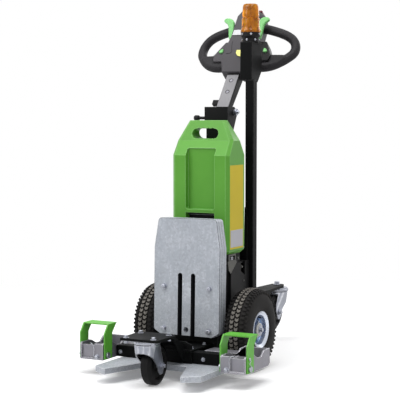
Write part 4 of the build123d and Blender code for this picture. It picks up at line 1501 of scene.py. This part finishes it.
@dataclass
class Coupling:
    """Clips, pins and bolts of the grippers, the crossbar and the front bracket."""

    bench: Bench
    bolts: Fasteners
    shelf: tuple[tuple[float, float], ...] = ((58, -205), (58, -120))
    plate: tuple[tuple[float, float], ...] = ((48, -330), (46, -420))
    clip_path: tuple[tuple[float, float, float], ...] = (
        (289.5, -281, 92), (291.5, -276, 86), (291.5, -284, 79), (291.5, -276, 71),
        (291.5, -284, 63), (291.0, -279, 55))
    hook_path: tuple[tuple[float, float, float], ...] = (
        (247, -298.5, 99), (243, -300.5, 100), (237, -301.5, 96), (233, -301, 86),
        (233.5, -300.5, 72), (232.5, -300.5, 57))

    def build(self) -> None:
        """Add the clips and the bolts."""
        for side in Side:
            self.clips(side)
        self.bolts.put("bar_bolts", "tug", "zinc_plated", [
            *[(at(side.sign * x, -219, 65), FRONT, 0.008) for side in Side for x in (105, 186)],
            *[(at(side.sign * 222, -298, 58), FRONT, 0.010) for side in Side]])
        for name, pattern, height, out, across in (
                ("shelf_bolts", self.shelf, 92, UP, 0.009),
                ("plate_bolts", self.plate, 151, UP, 0.011),
                ("plate_nuts", self.plate, 143, -UP, 0.012)):
            self.bolts.put(name, "tug", "zinc_plated", [
                (at(side.sign * x, y, height), out, across) for side in Side for x, y in pattern])

    def clips(self, side: Side) -> None:
        """Hang the pins and spring clips of one gripper.

        Args:
            side: Which gripper it is.
        """
        b, k = self.bench, side.sign
        outer = [b.wire(f"clip_wire_{side.tag}", [at(k * x, y, z) for x, y, z in self.clip_path],
                        0.0009)]
        head = b.disc(f"clip_head_{side.tag}", at(k * 290, -281, 92), RIGHT, 0.0045, 0.0035, 24)
        outer.append(b.round_off(head, 0.0008, 2))
        b.fit(b.join(outer, f"lever_clip_{side.tag}"), f"latch_{side.tag}", "zinc_plated")
        hook = b.wire(f"hook_{side.tag}", [at(k * x, y, z) for x, y, z in self.hook_path], 0.0010)
        b.fit(hook, "tug", "zinc_plated")


@dataclass
class Casters:
    """Axle nuts and swivel races of the casters, and the rear arm with its bolt."""

    bench: Bench
    bolts: Fasteners
    places: tuple[tuple[str, float, float, float], ...] = (
        # end, swivel y, axle y, axle height
        ("front", -378.0, -336.0, 60.0), ("rear", 561.0, 519.0, 103.0))
    race: tuple[tuple[float, float], ...] = (
        (36.0, 0.0), (40.0, 0.8), (41.0, 3.0), (41.0, 8.0), (39.0, 9.0))
    race_foot: float = 70.5
    fork_half: float = 32.0
    arm_top: float = 196.0
    arm_swivel: float = 561.0
    arm_neck: float = 440.0
    arm_end: float = 0.025
    arm_thickness: float = 0.010
    flange_thickness: float = 0.006

    def build(self) -> None:
        """Dress both casters."""
        b = self.bench
        for tag, swivel, axle, height in self.places:
            self.bolts.put(f"{tag}_axle_nuts", f"{tag}_fork", "zinc_plated", [
                (at(side.sign * self.fork_half, axle, height), RIGHT * side.sign, 0.010)
                for side in Side])
            race = b.lathe(f"{tag}_race", at(0, swivel, height + self.race_foot), UP,
                           self.race, 72)
            b.modify(race, "SOLIDIFY", thickness=0.0008, offset=-1.0)
            b.fit(race, "tug", "zinc_plated")
        self.bolts.put("arm_bolt", "tug", "zinc_plated",
                       [(at(0, self.arm_swivel, self.arm_top), UP, 0.016)])
        self.rear_arm()

    def rear_arm(self) -> None:
        """Model the arm with the narrower round end that carries the rear caster."""
        b = self.bench
        low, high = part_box("rear_arm")
        root, deck, half, end = low[1], high[2] - self.arm_thickness, high[0], self.arm_end
        swivel, neck = at(0, self.arm_swivel, 0).y, at(0, self.arm_neck, 0).y
        slant = math.atan2(half - end, swivel - neck)
        steps = 24
        turns = [-slant + (math.pi + 2 * slant) * i / steps for i in range(steps + 1)]
        outline = [(-half, root), (half, root), (half, neck),
                   *[(end * math.cos(a), swivel + end * math.sin(a)) for a in turns],
                   (-half, neck)]
        parts = [b.plate("rear_arm_deck", [Vector((x, y, deck)) for x, y in outline],
                         UP * self.arm_thickness)]
        flange = ((root, -0.076), (root, 0.001), (neck, 0.001), (neck, 0.0), (neck - 0.015, -0.012))
        for side in Side:
            corners = [Vector((side.sign * (half - self.flange_thickness), y, deck + z))
                       for y, z in flange]
            parts.append(b.plate(f"rear_arm_flange_{side.tag}", corners,
                                 RIGHT * (side.sign * self.flange_thickness)))
        skin = b.round_off(b.join(parts, "rear_arm_skin"), 0.0015, 2)
        b.fit(skin, "tug", "mast_paint", b.slot["rear_arm"], ("rear_arm",))


@dataclass
class Chassis:
    """Bolts and catches on the sides of the chassis, and the mast's foot plate."""

    bench: Bench
    bolts: Fasteners
    bolt_places: tuple[tuple[float, float, float, float], ...] = (
        # x, y, z, size across flats in metres
        (96, 82, 271, 0.0035), (90, 78, 316, 0.006), (94, 40, 348, 0.006))
    flange: tuple[tuple[float, float], ...] = (
        (56, 333), (92, 333), (92, 470), (89, 505), (82, 505), (80, 372), (56, 366))

    def build(self) -> None:
        """Add the side details."""
        b = self.bench
        places = []
        for side in Side:
            k = side.sign
            places += [(at(k * x, y, z), RIGHT * k, across) for x, y, z, across in self.bolt_places]
            for name, finish, reach, low, high in (
                    ("catch_case", "black_plastic", 95, (25, 340), (56, 355)),
                    ("catch", "dull_zinc", 97.5, (-12, 346), (4, 355))):
                near, far = sorted((k * 88, k * reach))
                piece = b.block(f"{name}_{side.tag}", at(near, *low), at(far, *high))
                b.fit(b.round_off(piece, 0.001, 2), "tug", finish)
        self.bolts.put("chassis_bolts", "tug", "dark_zinc", places)
        flange = b.plate("mast_flange", [at(x, 123.0, z) for x, z in self.flange], FRONT * 0.006)
        b.fit(b.round_off(flange, 0.0012, 2), "tug", "mast_paint")


@dataclass
class Rims:
    """Bolts, hub caps and valves of the drive wheels."""

    bench: Bench
    bolts: Fasteners
    track: float = TRACK_HALF
    bolt_circle: float = 33.0
    disc_out: float = 9.5
    cap_out: float = 25.8
    nut_out: float = 34.0
    cap_outline: tuple[tuple[float, float], ...] = (
        (21.5, 0.0), (21.5, 4.0), (19.5, 6.5), (16.2, 7.5), (16.1, 0.5))
    valve_path: tuple[tuple[float, float], ...] = ((6, 45), (14, 43), (24, 40))

    def build(self) -> None:
        """Dress both rims."""
        b = self.bench
        for side in Side:
            k, body, out = side.sign, f"wheel_{side.tag}", RIGHT * side.sign
            places = []
            for index in range(4):
                turn = math.radians(35 + 90 * index)
                spot = at(k * (self.track + self.disc_out), self.bolt_circle * math.cos(turn),
                          AXLE_Z + self.bolt_circle * math.sin(turn))
                places.append((spot, out, 0.009))
            self.bolts.put(f"rim_bolts_{side.tag}", body, "zinc_plated", places)
            foot = at(k * (self.track + self.cap_out), 0, AXLE_Z)
            cap = b.lathe(f"hub_cap_{side.tag}", foot, out, self.cap_outline, 64)
            b.fit(cap, body, "hub_zinc")
            path = [at(k * (self.track + x), r * 0.5, AXLE_Z + r * 0.866)
                    for x, r in self.valve_path]
            b.fit(b.wire(f"valve_{side.tag}", path, 0.0026), body, "black_plastic")
        self.bolts.put("axle_nuts", "tug", "zinc_plated", [
            (at(side.sign * (self.track + self.nut_out), 0, AXLE_Z), RIGHT * side.sign, 0.0115)
            for side in Side])


@dataclass
class DriveTyres:
    """Pneumatic tyres with rows of block tread."""

    bench: Bench
    track: float = TRACK_HALF
    outer: float = 130.0
    crown_drop: float = 9.5
    crown_half: float = 34.0
    seat: float = 51.0
    wall: tuple[tuple[float, float], ...] = (
        # distance from the middle, radius
        (33.8, 59.5), (37.5, 63.0), (39.6, 72.0), (40.3, 84.0), (39.6, 97.0), (37.0, 108.0),
        (33.0, 115.5), (26.0, 120.5), (15.0, 123.5), (0.0, 124.3))
    pitch_count: int = 55
    taper: tuple[float, float] = (0.86, 0.92)
    rows: tuple[tuple[float, float, float, float, float, float], ...] = (
        # centre x, width, lowest radius, share of the pitch, stagger, bow
        (-8.2, 13.8, 122.5, 0.66, 0.0, 4.6), (8.2, 13.8, 122.5, 0.66, 0.5, 4.6),
        (-24.6, 12.0, 119.0, 0.52, 0.5, 2.0), (24.6, 12.0, 119.0, 0.52, 0.0, 2.0),
        (-34.0, 5.5, 113.0, 0.45, 0.0, 0.4), (34.0, 5.5, 113.0, 0.45, 0.5, 0.4))

    def build(self) -> None:
        """Make both tyres."""
        for side in Side:
            carcass = self.carcass(f"tyre_{side.tag}_carcass", side)
            blocks = self.blocks(f"tyre_{side.tag}_blocks", side)
            tyre = self.bench.join([carcass, blocks], f"tyre_{side.tag}_tread")
            self.bench.fit(tyre, f"wheel_{side.tag}", "tyre_rubber", None, (f"tyre_{side.tag}",))

    def crown(self, x: float) -> float:
        """Return the outer radius at a distance from the tyre's middle."""
        return self.outer - self.crown_drop * (abs(x) / self.crown_half) ** 2.4

    def carcass(self, name: str, side: Side) -> bpy.types.Object:
        """Spin the tyre's section without its blocks.

        Args:
            name: The piece's name.
            side: Which wheel it is on.

        Returns:
            The carcass.
        """
        half = [(30.2, self.seat), *self.wall]
        section = half + [(-x, r) for x, r in reversed(half[:-1])]
        points = [at(side.sign * self.track + x, 0, self.outer + r) for x, r in section]
        piece = self.bench.loop(name, points, "NOTHING")
        bpy.ops.object.mode_set(mode="EDIT")
        bpy.ops.mesh.select_all(action="SELECT")
        bpy.ops.mesh.spin(steps=96, angle=math.tau, center=at(0, 0, self.outer), axis=(1, 0, 0))
        bpy.ops.object.mode_set(mode="OBJECT")
        self.bench.mend(piece)
        self.bench.pick(piece)
        bpy.ops.object.shade_smooth_by_angle(angle=math.radians(40))
        return piece

    def blocks(self, name: str, side: Side) -> bpy.types.Object:
        """Copy one block per row round the tyre.

        Args:
            name: The piece's name.
            side: Which wheel they are on.

        Returns:
            The joined blocks.
        """
        made = []
        step = math.tau / self.pitch_count
        hub = at(side.sign * self.track, 0, self.outer)
        for row, (x, width, low, share, stagger, bow) in enumerate(self.rows):
            block = self.block(x, width, low, share * step, bow)
            for index in range(self.pitch_count):
                turn = Matrix.Rotation((index + stagger) * step, 4, "X")
                made.append(self.bench.copy(block, f"{name}_{row}_{index}",
                                            Matrix.Translation(hub) @ turn))
            bpy.data.objects.remove(block)
        return self.bench.join(made, name)

    def block(self, x: float, width: float, low: float, span: float, bow: float
              ) -> bpy.types.Object:
        """Model one curved block at the top of the wheel.

        Args:
            x: Its middle across the tread in millimetres.
            width: Its width in millimetres.
            low: The radius of its foot in millimetres.
            span: The angle that it covers in radians.
            bow: How far its ends trail its middle in millimetres.

        Returns:
            The block.
        """
        high = self.crown(x)
        size = Vector((width, high * span, high - low)) / 1000.0
        b = self.bench
        b.clear()
        bpy.ops.mesh.primitive_cube_add(size=1.0)
        bpy.context.object.scale = size
        piece = b.settle("tread_block")
        b.select_faces(piece, lambda f: True)
        b.edit(piece, lambda: bpy.ops.mesh.subdivide(number_cuts=2))
        foot = Vector((x, 0.0, (high + low) / 2)) / 1000.0
        for vertex in piece.data.vertices:
            across = vertex.co.x / (size.x / 2)
            vertex.co.y += bow * (across * across - 0.5) / 1000.0
            if vertex.co.z > 0:
                vertex.co.x *= self.taper[0]
                vertex.co.y *= self.taper[1]
                drop = self.crown(x) - self.crown(x + vertex.co.x * 1000)
                vertex.co.z -= drop / 1000.0
            vertex.co += foot
        b.round_off(piece, 0.0006, 1, 40.0, 25.0)
        return piece


def main() -> None:
    """Build the machine around its frame and report each piece."""
    logging.basicConfig(level=logging.INFO, format="%(message)s")
    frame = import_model()
    Studio().build()
    bench = Bench(frame, Paintshop())
    bolts = Fasteners(bench)
    PlainParts(bench).build()
    Battery(bench).build()
    DriveTyres(bench).build()
    for group in (Ballast, TillerTop, Beacon, Coupling, Casters, Chassis, Rims):
        group(bench, bolts).build()
    bolts.tidy()


if __name__ == "__main__":
    main()
